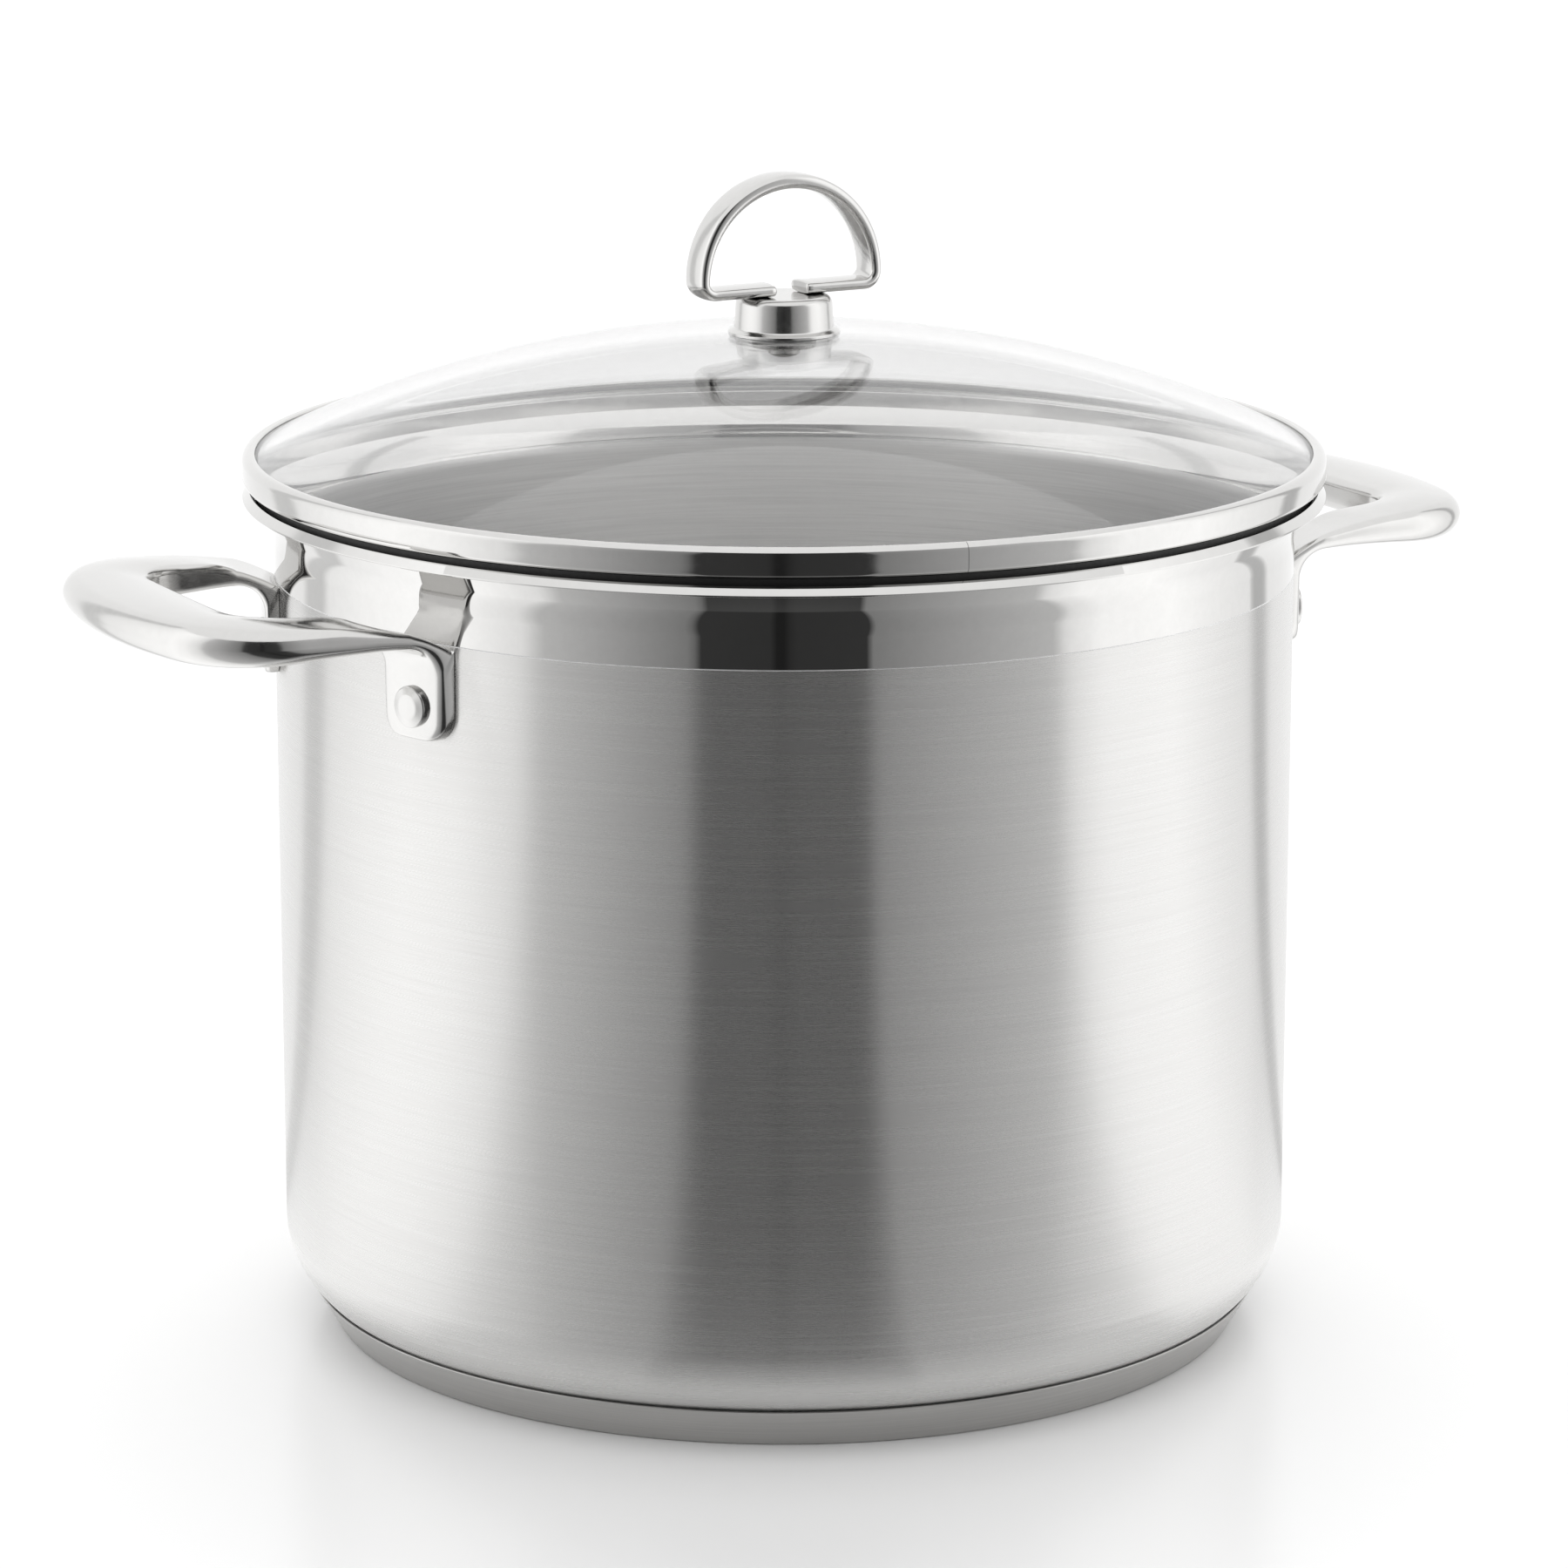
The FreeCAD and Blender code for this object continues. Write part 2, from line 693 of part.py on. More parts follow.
# ---------------------------------------------------------------- build, check and write
def build():
    make_pot_body()
    make_base_cap()
    make_base_core()
    make_handle("right_handle", 0)
    make_handle("left_handle", 180)
    make_rivet("right_rear_rivet", "rivet_spread")
    make_rivet("right_front_rivet", "-rivet_spread")
    make_rivet("left_front_rivet", "180 + rivet_spread")
    make_rivet("left_rear_rivet", "180 - rivet_spread")
    make_lid_glass()
    make_lid_ring()
    make_knob_stack()
    doc.recompute()


def write_parts():
    """Checks every object, then writes one STEP file for each body."""
    for thing in doc.Objects:
        if {"Invalid", "Error"} & set(thing.State):
            raise RuntimeError(f"{thing.Name} failed: {thing.State}")
    bodies = [thing for thing in doc.Objects if thing.TypeId == "PartDesign::Body"]
    for body in bodies:
        if body.Shape.isNull() or not body.Shape.isValid():
            raise RuntimeError(f"{body.Label} has a bad shape")
    os.makedirs("parts", exist_ok=True)
    for body in bodies:
        body.Shape.exportStep(f"parts/{body.Label}.step")
        box = body.Shape.BoundBox
        print(f"{body.Label}: {body.Shape.Volume:.0f} mm3, {len(body.Shape.Solids)} solid, "
              f"z {box.ZMin:.2f} to {box.ZMax:.2f}")


build()
write_parts()
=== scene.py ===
import math

import bpy
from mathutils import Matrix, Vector


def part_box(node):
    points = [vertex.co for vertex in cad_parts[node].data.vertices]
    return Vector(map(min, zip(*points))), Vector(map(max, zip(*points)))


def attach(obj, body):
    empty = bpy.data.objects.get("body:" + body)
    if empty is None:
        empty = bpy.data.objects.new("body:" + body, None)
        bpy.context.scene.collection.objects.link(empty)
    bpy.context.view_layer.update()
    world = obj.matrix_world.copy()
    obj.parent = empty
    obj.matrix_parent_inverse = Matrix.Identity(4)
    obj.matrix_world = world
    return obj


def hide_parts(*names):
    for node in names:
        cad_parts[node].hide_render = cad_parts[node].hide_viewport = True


# A lidded stock pot on a pale floor. Shape sizes are in millimetres and are scaled to metres
# when a mesh is made. +Z is up and the two handles lie on +X and -X.

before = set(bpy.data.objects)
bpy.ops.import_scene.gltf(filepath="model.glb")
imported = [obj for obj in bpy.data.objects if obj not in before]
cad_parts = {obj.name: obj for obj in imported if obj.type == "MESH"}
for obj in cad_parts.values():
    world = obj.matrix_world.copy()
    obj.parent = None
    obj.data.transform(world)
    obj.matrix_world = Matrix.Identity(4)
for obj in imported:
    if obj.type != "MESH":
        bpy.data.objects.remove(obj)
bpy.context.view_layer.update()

MM = 0.001
TURN = 2 * math.pi


def cad_box(node):
    """Lowest and highest corner of a CAD node, in millimetres."""
    low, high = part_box(node)
    return low / MM, high / MM


# ---------------------------------------------------------------- driving sizes, in millimetres
POT_LOW, POT_HIGH = cad_box("pot_body")
CAP_HIGH = cad_box("base_cap")[1]
RING_LOW, RING_HIGH = cad_box("lid_ring")
GLASS_HIGH = cad_box("lid_glass")[1]
CUP_LOW, CUP_HIGH = cad_box("knob_cup")
LOOP_LOW, LOOP_HIGH = cad_box("knob_loop")
HANDLE_HIGH = cad_box("right_handle")[1]

SHEET = 0.8                              # thickness of the pot's wall
LIP_BEAD = 1.3
LIP_RADIUS = POT_HIGH.x - LIP_BEAD
LIP_HEIGHT = POT_HIGH.z - LIP_BEAD
LIP_EDGE = 200.35                        # sharp lower edge of the lip
LIP_BEVEL = 105.0                        # where its outer bevel runs into the round top
LIP_STEP = 0.35                          # upright strip between the lower edge and the bevel
WALL = LIP_RADIUS - 5.9                  # outside radius of the wall
INNER = WALL - SHEET
POT_FLOOR = POT_LOW.z
BOTTOM_CORNER = 20.0
FLARE_START = 190.0
FLARE_RADIUS = 12.4
FLARE_LEAN = 30.0                        # the outside leans out this far, up to the lip
SATIN_TURN = 10.9                        # how far round the flare the satin inside reaches
ETCH_HEIGHT = 182.7
ETCH_HALF = 0.14
ETCH_DEPTH = 0.1

CAP_RIM = CAP_HIGH.x
CAP_FOOT = CAP_RIM - 5.8
CAP_SHEET = 0.6
CAP_FLAT_EDGE = 9.0                      # width of the outermost flat ring of the underside

DOME_RADIUS = 296.0
DOME_APEX = 238.1
DOME_CENTRE = DOME_APEX - DOME_RADIUS
GLASS = 3.8
GLASS_RIM = GLASS_HIGH.x
GLASS_HOLE = 5.0

RIVET_HEIGHT = 168.3
RIVET_TURN = 19.7
RIVET_HEAD = 4.8
RIVET_INNER = 5.0                        # radius of the head inside the pot


# ---------------------------------------------------------------- turned meshes
def turned_by(vector, angle):
    c, s = math.cos(angle), math.sin(angle)
    return (vector[0] * c - vector[1] * s, vector[0] * s + vector[1] * c)


def along(start, end, share):
    return (start[0] + (end[0] - start[0]) * share, start[1] + (end[1] - start[1]) * share)


class Section:
    """A section in (radius, height) drawn anticlockwise, so that the outside is on its right.

    Each span is [start, end, normal at start, normal at end, finish], and rounds holds the
    corners to be rounded: {span that leaves the corner: radius}.
    """

    def __init__(self, radius, height, finish=0):
        self.at = (radius, height)
        self.finish = finish
        self.spans = []
        self.rounds = {}

    def line(self, radius, height, steps=1, round_start=0.0):
        start, end = self.at, (radius, height)
        run, rise = end[0] - start[0], end[1] - start[1]
        length = math.hypot(run, rise)
        normal = (rise / length, -run / length)
        if round_start:
            self.rounds[len(self.spans)] = round_start
        for i in range(steps):
            self.spans.append([along(start, end, i / steps), along(start, end, (i + 1) / steps),
                               normal, normal, self.finish])
        self.at = end

    def arc(self, centre, sweep, step=5.0, round_start=0.0):
        """An arc about centre by sweep degrees: anticlockwise bulges outwards, clockwise inwards."""
        radial = (self.at[0] - centre[0], self.at[1] - centre[1])
        radius = math.hypot(*radial)
        count = max(2, math.ceil(abs(sweep) / step))
        side = math.copysign(1, sweep)
        if round_start:
            self.rounds[len(self.spans)] = round_start
        points, normals = [], []
        for i in range(count + 1):
            x, y = turned_by(radial, math.radians(sweep) * i / count)
            points.append((centre[0] + x, centre[1] + y))
            normals.append((x / radius * side, y / radius * side))
        for i in range(count):
            self.spans.append([points[i], points[i + 1], normals[i], normals[i + 1], self.finish])
        self.at = points[-1]

    def close(self, steps=1, round_start=0.0, round_first=0.0):
        """A line back to the first point."""
        self.line(*self.spans[0][0], steps=steps, round_start=round_start)
        if round_first:
            self.rounds[len(self.spans)] = round_first

    def rounded(self):
        """The spans with each marked corner replaced by a small arc."""
        spans = [list(span) for span in self.spans]
        for corner in sorted(self.rounds, reverse=True):
            radius = self.rounds[corner]
            wraps = corner == len(spans)
            split = len(spans) // 2 if wraps else corner
            before, after = spans[:split], spans[split:]
            if wraps:
                before, after = after, before
            n0, n1 = before[-1][3], after[0][2]
            turn = math.atan2(n0[0] * n1[1] - n0[1] * n1[0], n0[0] * n1[0] + n0[1] * n1[1])
            side = math.copysign(1, turn)
            cut = radius * math.tan(abs(turn) / 2)
            before, p0, n0 = trim(before, cut, back=True)
            after, _, n1 = trim(after, cut, back=False)
            centre = (p0[0] - n0[0] * radius * side, p0[1] - n0[1] * radius * side)
            count = max(3, math.ceil(math.degrees(abs(turn)) / 12))
            middle, last_point, last_normal = [], p0, n0
            for i in range(1, count + 1):
                normal = turned_by(n0, turn * i / count)
                point = (centre[0] + normal[0] * radius * side, centre[1] + normal[1] * radius * side)
                middle.append([last_point, point, last_normal, normal, after[0][4]])
                last_point, last_normal = point, normal
            after[0][0] = last_point
            spans = after + before + middle if wraps else before + middle + after
        return spans


def trim(spans, distance, back):
    """The spans without this distance at one end, and the point and normal at the cut."""
    spans = [list(span) for span in spans]
    while True:
        span = spans[-1] if back else spans[0]
        length = math.dist(span[0], span[1])
        if length > distance * 1.0001:
            break
        distance -= length
        spans.pop(-1 if back else 0)
    share = distance / length
    if back:
        point = along(span[1], span[0], share)
        normal = along(span[3], span[2], share)
        span[1], span[3] = point, normal
    else:
        point = along(span[0], span[1], share)
        normal = along(span[2], span[3], share)
        span[0], span[2] = point, normal
    return spans, point, normal


def turned(sections, segments=256):
    """Vertices, faces, finishes and corner normals of sections turned about the Z axis."""
    vertices, faces, finishes, normals = [], [], [], []
    compass = [(math.cos(TURN * j / segments), math.sin(TURN * j / segments)) for j in range(segments)]

    def ring(point):
        first = len(vertices)
        if point[0] < 1e-6:
            vertices.append((0.0, 0.0, point[1] * MM))
            return [first] * segments
        for c, s in compass:
            vertices.append((point[0] * c * MM, point[0] * s * MM, point[1] * MM))
        return list(range(first, first + segments))

    for section in sections:
        spans = section.rounded()
        closed = math.dist(spans[0][0], spans[-1][1]) < 1e-6 and spans[0][0][0] > 1e-6
        rings = [ring(spans[0][0])]
        for i, span in enumerate(spans):
            rings.append(rings[0] if closed and i == len(spans) - 1 else ring(span[1]))
        for (_, _, n0, n1, finish), low, high in zip(spans, rings, rings[1:]):
            for j in range(segments):
                k = (j + 1) % segments
                corners = [(low[j], n0, j), (low[k], n0, k), (high[k], n1, k), (high[j], n1, j)]
                if low[j] == low[k]:
                    corners.pop(1)
                if high[j] == high[k]:
                    corners.pop()
                if len(corners) < 3:
                    continue
                faces.append([vertex for vertex, _, _ in corners])
                finishes.append(finish)
                for _, n, m in corners:
                    normals.append((n[0] * compass[m][0], n[0] * compass[m][1], n[1]))
    return vertices, faces, finishes, normals


def new_piece(name, body, nodes, slot, materials, vertices, faces, finishes=None, normals=None):
    """A mesh object that rides on a body and stands for some CAD nodes."""
    mesh = bpy.data.meshes.new(name)
    mesh.from_pydata(vertices, [], faces)
    for material in materials:
        mesh.materials.append(material)
    mesh.polygons.foreach_set("use_smooth", [True] * len(faces))
    if finishes:
        mesh.polygons.foreach_set("material_index", finishes)
    if normals:
        mesh.normals_split_custom_set(normals)
    mesh.update()
    piece = bpy.data.objects.new(name, mesh)
    bpy.context.scene.collection.objects.link(piece)
    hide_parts(*nodes)
    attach(piece, body)
    return piece


# ---------------------------------------------------------------- node materials
class Surface:
    """A Principled material and short ways to add nodes to it. An input may be a number, a
    colour or another node's output."""

    def __init__(self, name, colour=(0.6, 0.6, 0.6), metallic=1.0, roughness=0.3):
        self.material = bpy.data.materials.new(name)
        self.material.use_nodes = True
        self.tree = self.material.node_tree
        self.shader = self.tree.nodes["Principled BSDF"]
        self.set(self.shader, "Base Color", colour)
        self.set(self.shader, "Metallic", metallic)
        self.set(self.shader, "Roughness", roughness)

    def set(self, node, key, value):
        socket = node.inputs[key]
        if isinstance(value, bpy.types.NodeSocket):
            self.tree.links.new(value, socket)
        elif isinstance(value, tuple) and len(value) == 3 and socket.type == "RGBA":
            socket.default_value = (*value, 1.0)
        else:
            socket.default_value = value

    def add(self, kind, inputs, output=0, **settings):
        node = self.tree.nodes.new(kind)
        for key, value in settings.items():
            setattr(node, key, value)
        for key, value in inputs.items():
            self.set(node, key, value)
        return node.outputs[output]

    def maths(self, operation, a, b=0.0, c=0.0):
        return self.add("ShaderNodeMath", {0: a, 1: b, 2: c}, operation=operation)

    def position(self):
        return self.add("ShaderNodeTexCoord", {}, output=3)

    def split(self, vector):
        node = self.tree.nodes.new("ShaderNodeSeparateXYZ")
        self.set(node, 0, vector)
        return node.outputs

    def scaled(self, scale, vector=None):
        return self.add("ShaderNodeMapping", {"Vector": vector or self.position(), "Scale": scale})

    def noise(self, scale, detail=3.0, vector=None, roughness=0.5, distortion=0.0):
        """Noise whose features are 1 / scale metres across along each axis."""
        return self.add("ShaderNodeTexNoise", {
            "Vector": self.scaled(scale, vector), "Scale": 1.0, "Detail": detail,
            "Roughness": roughness, "Distortion": distortion})

    def span(self, value, low, high, to_low=0.0, to_high=1.0, smooth=False):
        return self.add("ShaderNodeMapRange", {
            "Value": value, "From Min": low, "From Max": high, "To Min": to_low, "To Max": to_high},
            interpolation_type="SMOOTHSTEP" if smooth else "LINEAR")

    def mix(self, factor, a, b):
        node = self.tree.nodes.new("ShaderNodeMix")
        node.data_type = "RGBA"
        self.set(node, 0, factor)
        self.set(node, 6, a)
        self.set(node, 7, b)
        return node.outputs[2]

    def bump(self, height, distance, strength=1.0, normal=None):
        inputs = {"Height": height, "Distance": distance, "Strength": strength}
        if normal:
            inputs["Normal"] = normal
        return self.add("ShaderNodeBump", inputs)


SEAM_AZIMUTH = -100.0                    # degrees from +X, where the photo shows the joint
STEEL = (0.66, 0.655, 0.645)
STEEL_DARK = (0.56, 0.555, 0.545)
STEEL_INSIDE = (0.9, 0.895, 0.885)
STEEL_BASE = (0.47, 0.465, 0.455)
SEAM_COLOUR = (0.2, 0.2, 0.2)
LINE_SHARES = (0.6, 0.33, 0.07)          # weight of the fine, middle and wide lines


def brushed_steel(name, colour=STEEL, roughness=0.3, grain=1.0, streak=0.10, anisotropic=0.75,
                  metallic=1.0):
    """Steel brushed round the Z axis: fine lines that run round the wall, at three widths."""
    s = Surface(name, colour, metallic, roughness)
    fine = s.noise((30, 30, 3400 / grain), 2.0)
    middle = s.noise((22, 22, 1150 / grain), 2.0)
    wide = s.noise((12, 12, 260 / grain), 2.0)
    parts = [s.maths("MULTIPLY", noise, share) for noise, share in zip((fine, middle, wide), LINE_SHARES)]
    lines = s.maths("ADD", parts[0], s.maths("ADD", parts[1], parts[2]))
    light, dark = (tuple(c * (1 + k * streak) for c in colour) for k in (1, -1))
    s.set(s.shader, "Base Color", s.mix(s.span(lines, 0.3, 0.7), dark, light))
    s.set(s.shader, "Roughness", s.span(lines, 0.3, 0.7, roughness - 0.02, roughness + 0.025))
    s.set(s.shader, "Normal", s.bump(lines, 0.00001, 0.07))
    s.set(s.shader, "Anisotropic", anisotropic)
    s.set(s.shader, "Anisotropic Rotation", 0.25)
    s.set(s.shader, "Tangent", s.add("ShaderNodeTangent", {}, direction_type="RADIAL", axis="Z"))
    return s


def polished_steel(name, colour=STEEL, roughness=0.05, wave=0.00006, wave_scale=28.0):
    """Buffed steel: a sharp mirror with slow waves from drawing and very fine buffing haze."""
    s = Surface(name, colour, 1.0, roughness)
    slow = s.noise((wave_scale,) * 3, 2.0)
    haze = s.noise((420, 420, 420), 4.0, roughness=0.65)
    s.set(s.shader, "Roughness", s.span(haze, 0.35, 0.7, roughness * 0.8, roughness * 1.3))
    s.set(s.shader, "Normal", s.bump(slow, wave, 1.0))
    light, dark = (tuple(c * k for c in colour) for k in (1.012, 0.985))
    s.set(s.shader, "Base Color", s.mix(s.span(haze, 0.35, 0.65), dark, light))
    return s


def add_seam(s, azimuth=SEAM_AZIMUTH, half_width=0.0012):
    """A hairline butt joint across a polished band, darker than the steel either side.

    half_width is an angle in radians.
    """
    x, y, _ = s.split(s.position())
    gap = s.maths("ABSOLUTE", s.maths("SUBTRACT", s.maths("ARCTAN2", y, x), math.radians(azimuth)))
    plain = s.shader.inputs["Base Color"].links[0].from_socket
    s.set(s.shader, "Base Color", s.mix(s.span(gap, 0.0, half_width, smooth=True), SEAM_COLOUR, plain))


def satin_steel(name, colour=STEEL_DARK, roughness=0.32, grain=900.0):
    """Tumbled steel: an even, slightly cloudy satin with tiny pits."""
    s = Surface(name, colour, 1.0, roughness)
    grainy = s.noise((grain,) * 3, 4.0, roughness=0.7)
    cloud = s.noise((90, 90, 90), 3.0)
    s.set(s.shader, "Roughness", s.span(s.maths("ADD", s.maths("MULTIPLY", grainy, 0.5),
                                                 s.maths("MULTIPLY", cloud, 0.5)),
                                         0.35, 0.65, roughness - 0.06, roughness + 0.08))
    light, dark = (tuple(c * k for c in colour) for k in (1.06, 0.93))
    s.set(s.shader, "Base Color", s.mix(s.span(cloud, 0.35, 0.65), dark, light))
    s.set(s.shader, "Normal", s.bump(grainy, 0.00002, 0.4))
    return s


def clear_glass(name):
    """Tempered glass: clear and colourless, with slow pressing waves and a trace of haze."""
    s = Surface(name, (1.0, 1.0, 1.0), 0.0, 0.0)
    s.set(s.shader, "Transmission Weight", 1.0)
    s.set(s.shader, "IOR", 1.36)
    waves = s.noise((22, 22, 22), 1.0)
    s.set(s.shader, "Normal", s.bump(waves, 0.00001, 1.0))
    haze = s.noise((60, 60, 60), 3.0)
    s.set(s.shader, "Roughness", s.span(haze, 0.45, 0.75, 0.0, 0.012))
    return s


def rubber(name, colour, grain=700.0):
    """Moulded silicone: matt and faintly grainy."""
    s = Surface(name, colour, 0.0, 0.45)
    skin = s.noise((grain,) * 3, 3.0)
    light, dark = (tuple(min(1.0, c * k) for c in colour) for k in (1.06, 0.9))
    s.set(s.shader, "Base Color", s.mix(s.span(skin, 0.35, 0.65), dark, light))
    s.set(s.shader, "Roughness", s.span(skin, 0.3, 0.7, 0.38, 0.55))
    s.set(s.shader, "Normal", s.bump(skin, 0.00003, 0.3))
    return s


wall_brushed = brushed_steel("pot_wall_brushed", roughness=0.265, streak=0.045, anisotropic=1.0,
                             metallic=0.9)
wall_polished = polished_steel("pot_band_polished", roughness=0.022, wave=0.00001, wave_scale=16.0)
inside_satin = brushed_steel("pot_inside_satin", STEEL_INSIDE, 0.36, 1.4, 0.09, 0.45)
etched_line = satin_steel("etched_line", (0.8, 0.8, 0.8), 0.5)
base_satin = brushed_steel("base_cap_satin", STEEL_BASE, 0.34, 0.8, 0.10, 0.5)
core_aluminium = satin_steel("base_core_aluminium", (0.75, 0.75, 0.76), 0.45)
handle_polished = polished_steel("handle_polished", roughness=0.13, wave=0.00003, wave_scale=60.0)
ring_polished = polished_steel("lid_ring_polished", roughness=0.07, wave=0.00002, wave_scale=40.0)
add_seam(ring_polished)
# painted shade: a near-black steel for the ring's underside and neck, standing in for the shadow in the gap
# above the pot's lip
ring_painted_shade = satin_steel("lid_ring_painted_shade", (0.10, 0.10, 0.10), 0.6)
knob_polished = polished_steel("knob_polished", roughness=0.10, wave=0.00002, wave_scale=120.0)
cup_polished = polished_steel("knob_cup_polished", roughness=0.17, wave=0.00001, wave_scale=120.0)
rivet_satin = polished_steel("rivet_satin", roughness=0.2, wave=0.00001, wave_scale=200.0)
fastener_satin = satin_steel("fastener_satin", STEEL, 0.25, 1500.0)
lid_clear_glass = clear_glass("lid_clear_glass")
clear_silicone = rubber("clear_silicone", (0.75, 0.76, 0.76))


# ---------------------------------------------------------------- pot body
def circles_meet(first, r0, second, r1, side):
    """The point where two circles cross, to the left (1) or right (-1) of first to second."""
    gap = math.dist(first, second)
    reach = (gap ** 2 + r0 ** 2 - r1 ** 2) / (2 * gap)
    height = math.sqrt(r0 ** 2 - reach ** 2) * side
    ahead = ((second[0] - first[0]) / gap, (second[1] - first[1]) / gap)
    return (first[0] + ahead[0] * reach - ahead[1] * height,
            first[1] + ahead[1] * reach + ahead[0] * height)


def direction(centre, point):
    return math.degrees(math.atan2(point[1] - centre[1], point[0] - centre[0]))


BRUSHED, POLISHED, INSIDE, ETCHED = range(4)


def pot_section():
    corner = (WALL - BOTTOM_CORNER, POT_FLOOR + BOTTOM_CORNER)
    flare = (WALL + FLARE_RADIUS, FLARE_START)
    bead = (LIP_RADIUS, LIP_HEIGHT)
    s = Section(0, POT_FLOOR, BRUSHED)
    s.line(corner[0], POT_FLOOR, steps=8)
    s.arc(corner, 90, step=3)
    s.line(WALL, ETCH_HEIGHT - ETCH_HALF, steps=6)
    s.finish = ETCHED
    s.line(WALL - ETCH_DEPTH, ETCH_HEIGHT)
    s.line(WALL, ETCH_HEIGHT + ETCH_HALF)
    s.finish = POLISHED
    s.line(WALL, FLARE_START, steps=2)
    s.arc(flare, -FLARE_LEAN, step=2)
    reach = s.at[0] + (LIP_EDGE - s.at[1]) * math.tan(math.radians(FLARE_LEAN))
    s.line(reach, LIP_EDGE, steps=3)
    meet = circles_meet(bead, LIP_BEAD, flare, FLARE_RADIUS + SHEET, -1)
    s.line(POT_HIGH.x, LIP_EDGE)
    s.line(POT_HIGH.x, LIP_EDGE + LIP_STEP, round_start=0.2)
    bevel = math.radians(LIP_BEVEL)
    s.line(bead[0] + LIP_BEAD * math.cos(bevel), bead[1] + LIP_BEAD * math.sin(bevel), round_start=0.3)
    s.arc(bead, (direction(bead, meet) - LIP_BEVEL) % 360, step=10)
    s.arc(flare, 180 - SATIN_TURN - direction(flare, s.at) % 360, step=3)
    s.finish = INSIDE
    s.arc(flare, SATIN_TURN, step=3)
    s.line(INNER, POT_FLOOR + BOTTOM_CORNER, steps=6)
    s.arc(corner, -90, step=4)
    s.line(0, POT_FLOOR + SHEET, steps=8)
    return s


new_piece("pot_shell", "pot", ["pot_body"], "pot_steel",
          [m.material for m in (wall_brushed, wall_polished, inside_satin, etched_line)],
          *turned([pot_section()]))


# ---------------------------------------------------------------- base
def cap_section():
    s = Section(0, 0)
    s.line(CAP_FOOT - CAP_FLAT_EDGE, 0, steps=6)
    s.line(CAP_FOOT, 0)
    s.line(CAP_RIM, CAP_HIGH.z, round_start=1.6)
    s.line(CAP_RIM - CAP_SHEET, CAP_HIGH.z, round_start=0.22)
    s.line(CAP_FOOT - CAP_SHEET, CAP_SHEET, round_start=0.22)
    s.line(0, CAP_SHEET, round_start=0.8)
    return s


new_piece("base_cap_shell", "pot", ["base_cap"], "base_steel", [base_satin.material],
          *turned([cap_section()]))


# ---------------------------------------------------------------- lid
def dome_height(radius, below=0.0):
    return DOME_CENTRE + math.sqrt((DOME_RADIUS - below) ** 2 - radius ** 2)


def glass_section():
    centre = (0.0, DOME_CENTRE)
    s = Section(GLASS_HOLE, dome_height(GLASS_HOLE, GLASS))
    start = direction(centre, s.at)
    end = direction(centre, (GLASS_RIM, dome_height(GLASS_RIM, GLASS)))
    s.arc(centre, end - start, step=0.5)
    s.line(GLASS_RIM, dome_height(GLASS_RIM), round_start=0.7)
    start = direction(centre, s.at)
    end = direction(centre, (GLASS_HOLE, dome_height(GLASS_HOLE)))
    s.arc(centre, end - start, step=0.5, round_start=1.1)
    s.close(round_start=0.4, round_first=0.4)
    return s


RING_BARREL = 26.0
RING_LOWER_BEAD, RING_UPPER_BEAD = 1.9, 2.1
# the second finish is painted shade
RING_POLISHED, RING_PAINTED_SHADE = range(2)
RING_BOTTOM = 204.2
RING_SHEET = 0.5
RING_MOUTH = 124.8                       # radius of the top fold's inner edge
RING_NECK = 124.65                       # radius at which the band's underside meets the skirt
RING_CHANNEL = 0.7                       # from the outside to the channel that holds the glass
GLASS_PLAY = 0.05
SKIRT_GAP = 0.4                          # between the skirt and the pot's flare
SKIRT_TOP = 200.5


def ring_section():
    """The folded band round the glass, and the skirt that sits inside the pot's flare."""
    flare = (WALL + FLARE_RADIUS, FLARE_START)
    outer, top, bottom = RING_HIGH.x, RING_HIGH.z, RING_BOTTOM
    channel = outer - RING_CHANNEL
    skirt = FLARE_RADIUS + SHEET + SKIRT_GAP
    skirt_bottom = RING_LOW.z

    def on_skirt(radius, height):
        return (flare[0] - math.sqrt(radius ** 2 - (height - flare[1]) ** 2), height)

    half = (top - bottom) / 2
    lean = math.degrees(math.asin(half / RING_BARREL))
    edge = outer - RING_BARREL * (1 - math.cos(math.radians(lean)))
    # the underside starts in the painted-shade finish, as dark as the gap's shadow
    s = Section(RING_NECK, bottom, RING_PAINTED_SHADE)
    s.line(edge, bottom)
    s.finish = RING_POLISHED
    s.arc((outer - RING_BARREL, bottom + half), 2 * lean, step=2, round_start=RING_LOWER_BEAD)
    s.line(RING_MOUTH, top, round_start=RING_UPPER_BEAD)
    s.line(RING_MOUTH, dome_height(RING_MOUTH) + GLASS_PLAY, round_start=0.5)
    s.line(channel, dome_height(channel) + GLASS_PLAY)
    s.line(channel, bottom + RING_SHEET)
    s.line(RING_NECK - RING_SHEET, bottom + RING_SHEET)
    s.line(*on_skirt(skirt + RING_SHEET, SKIRT_TOP), round_start=0.4)
    first, last = s.at, on_skirt(skirt + RING_SHEET, skirt_bottom)
    s.arc(flare, direction(flare, last) % 360 - direction(flare, first) % 360, step=6)
    s.line(*on_skirt(skirt, skirt_bottom))
    first, last = s.at, on_skirt(skirt, SKIRT_TOP)
    s.arc(flare, direction(flare, last) % 360 - direction(flare, first) % 360, step=6)
    # the neck goes back to painted shade
    s.finish = RING_PAINTED_SHADE
    s.close()
    return s


new_piece("lid_dome", "lid", ["lid_glass"], "lid_glass", [lid_clear_glass.material],
          *turned([glass_section()]))
new_piece("lid_band", "lid", ["lid_ring"], "ring_steel",
          [ring_polished.material, ring_painted_shade.material],
          *turned([ring_section()], segments=288))


# ---------------------------------------------------------------- knob
CUP_SIDE, CUP_NECK = 11.8, 11.3          # outside radius above the flange and at the top
CUP_SHEET = 0.8
FLANGE_SHEET = 0.6


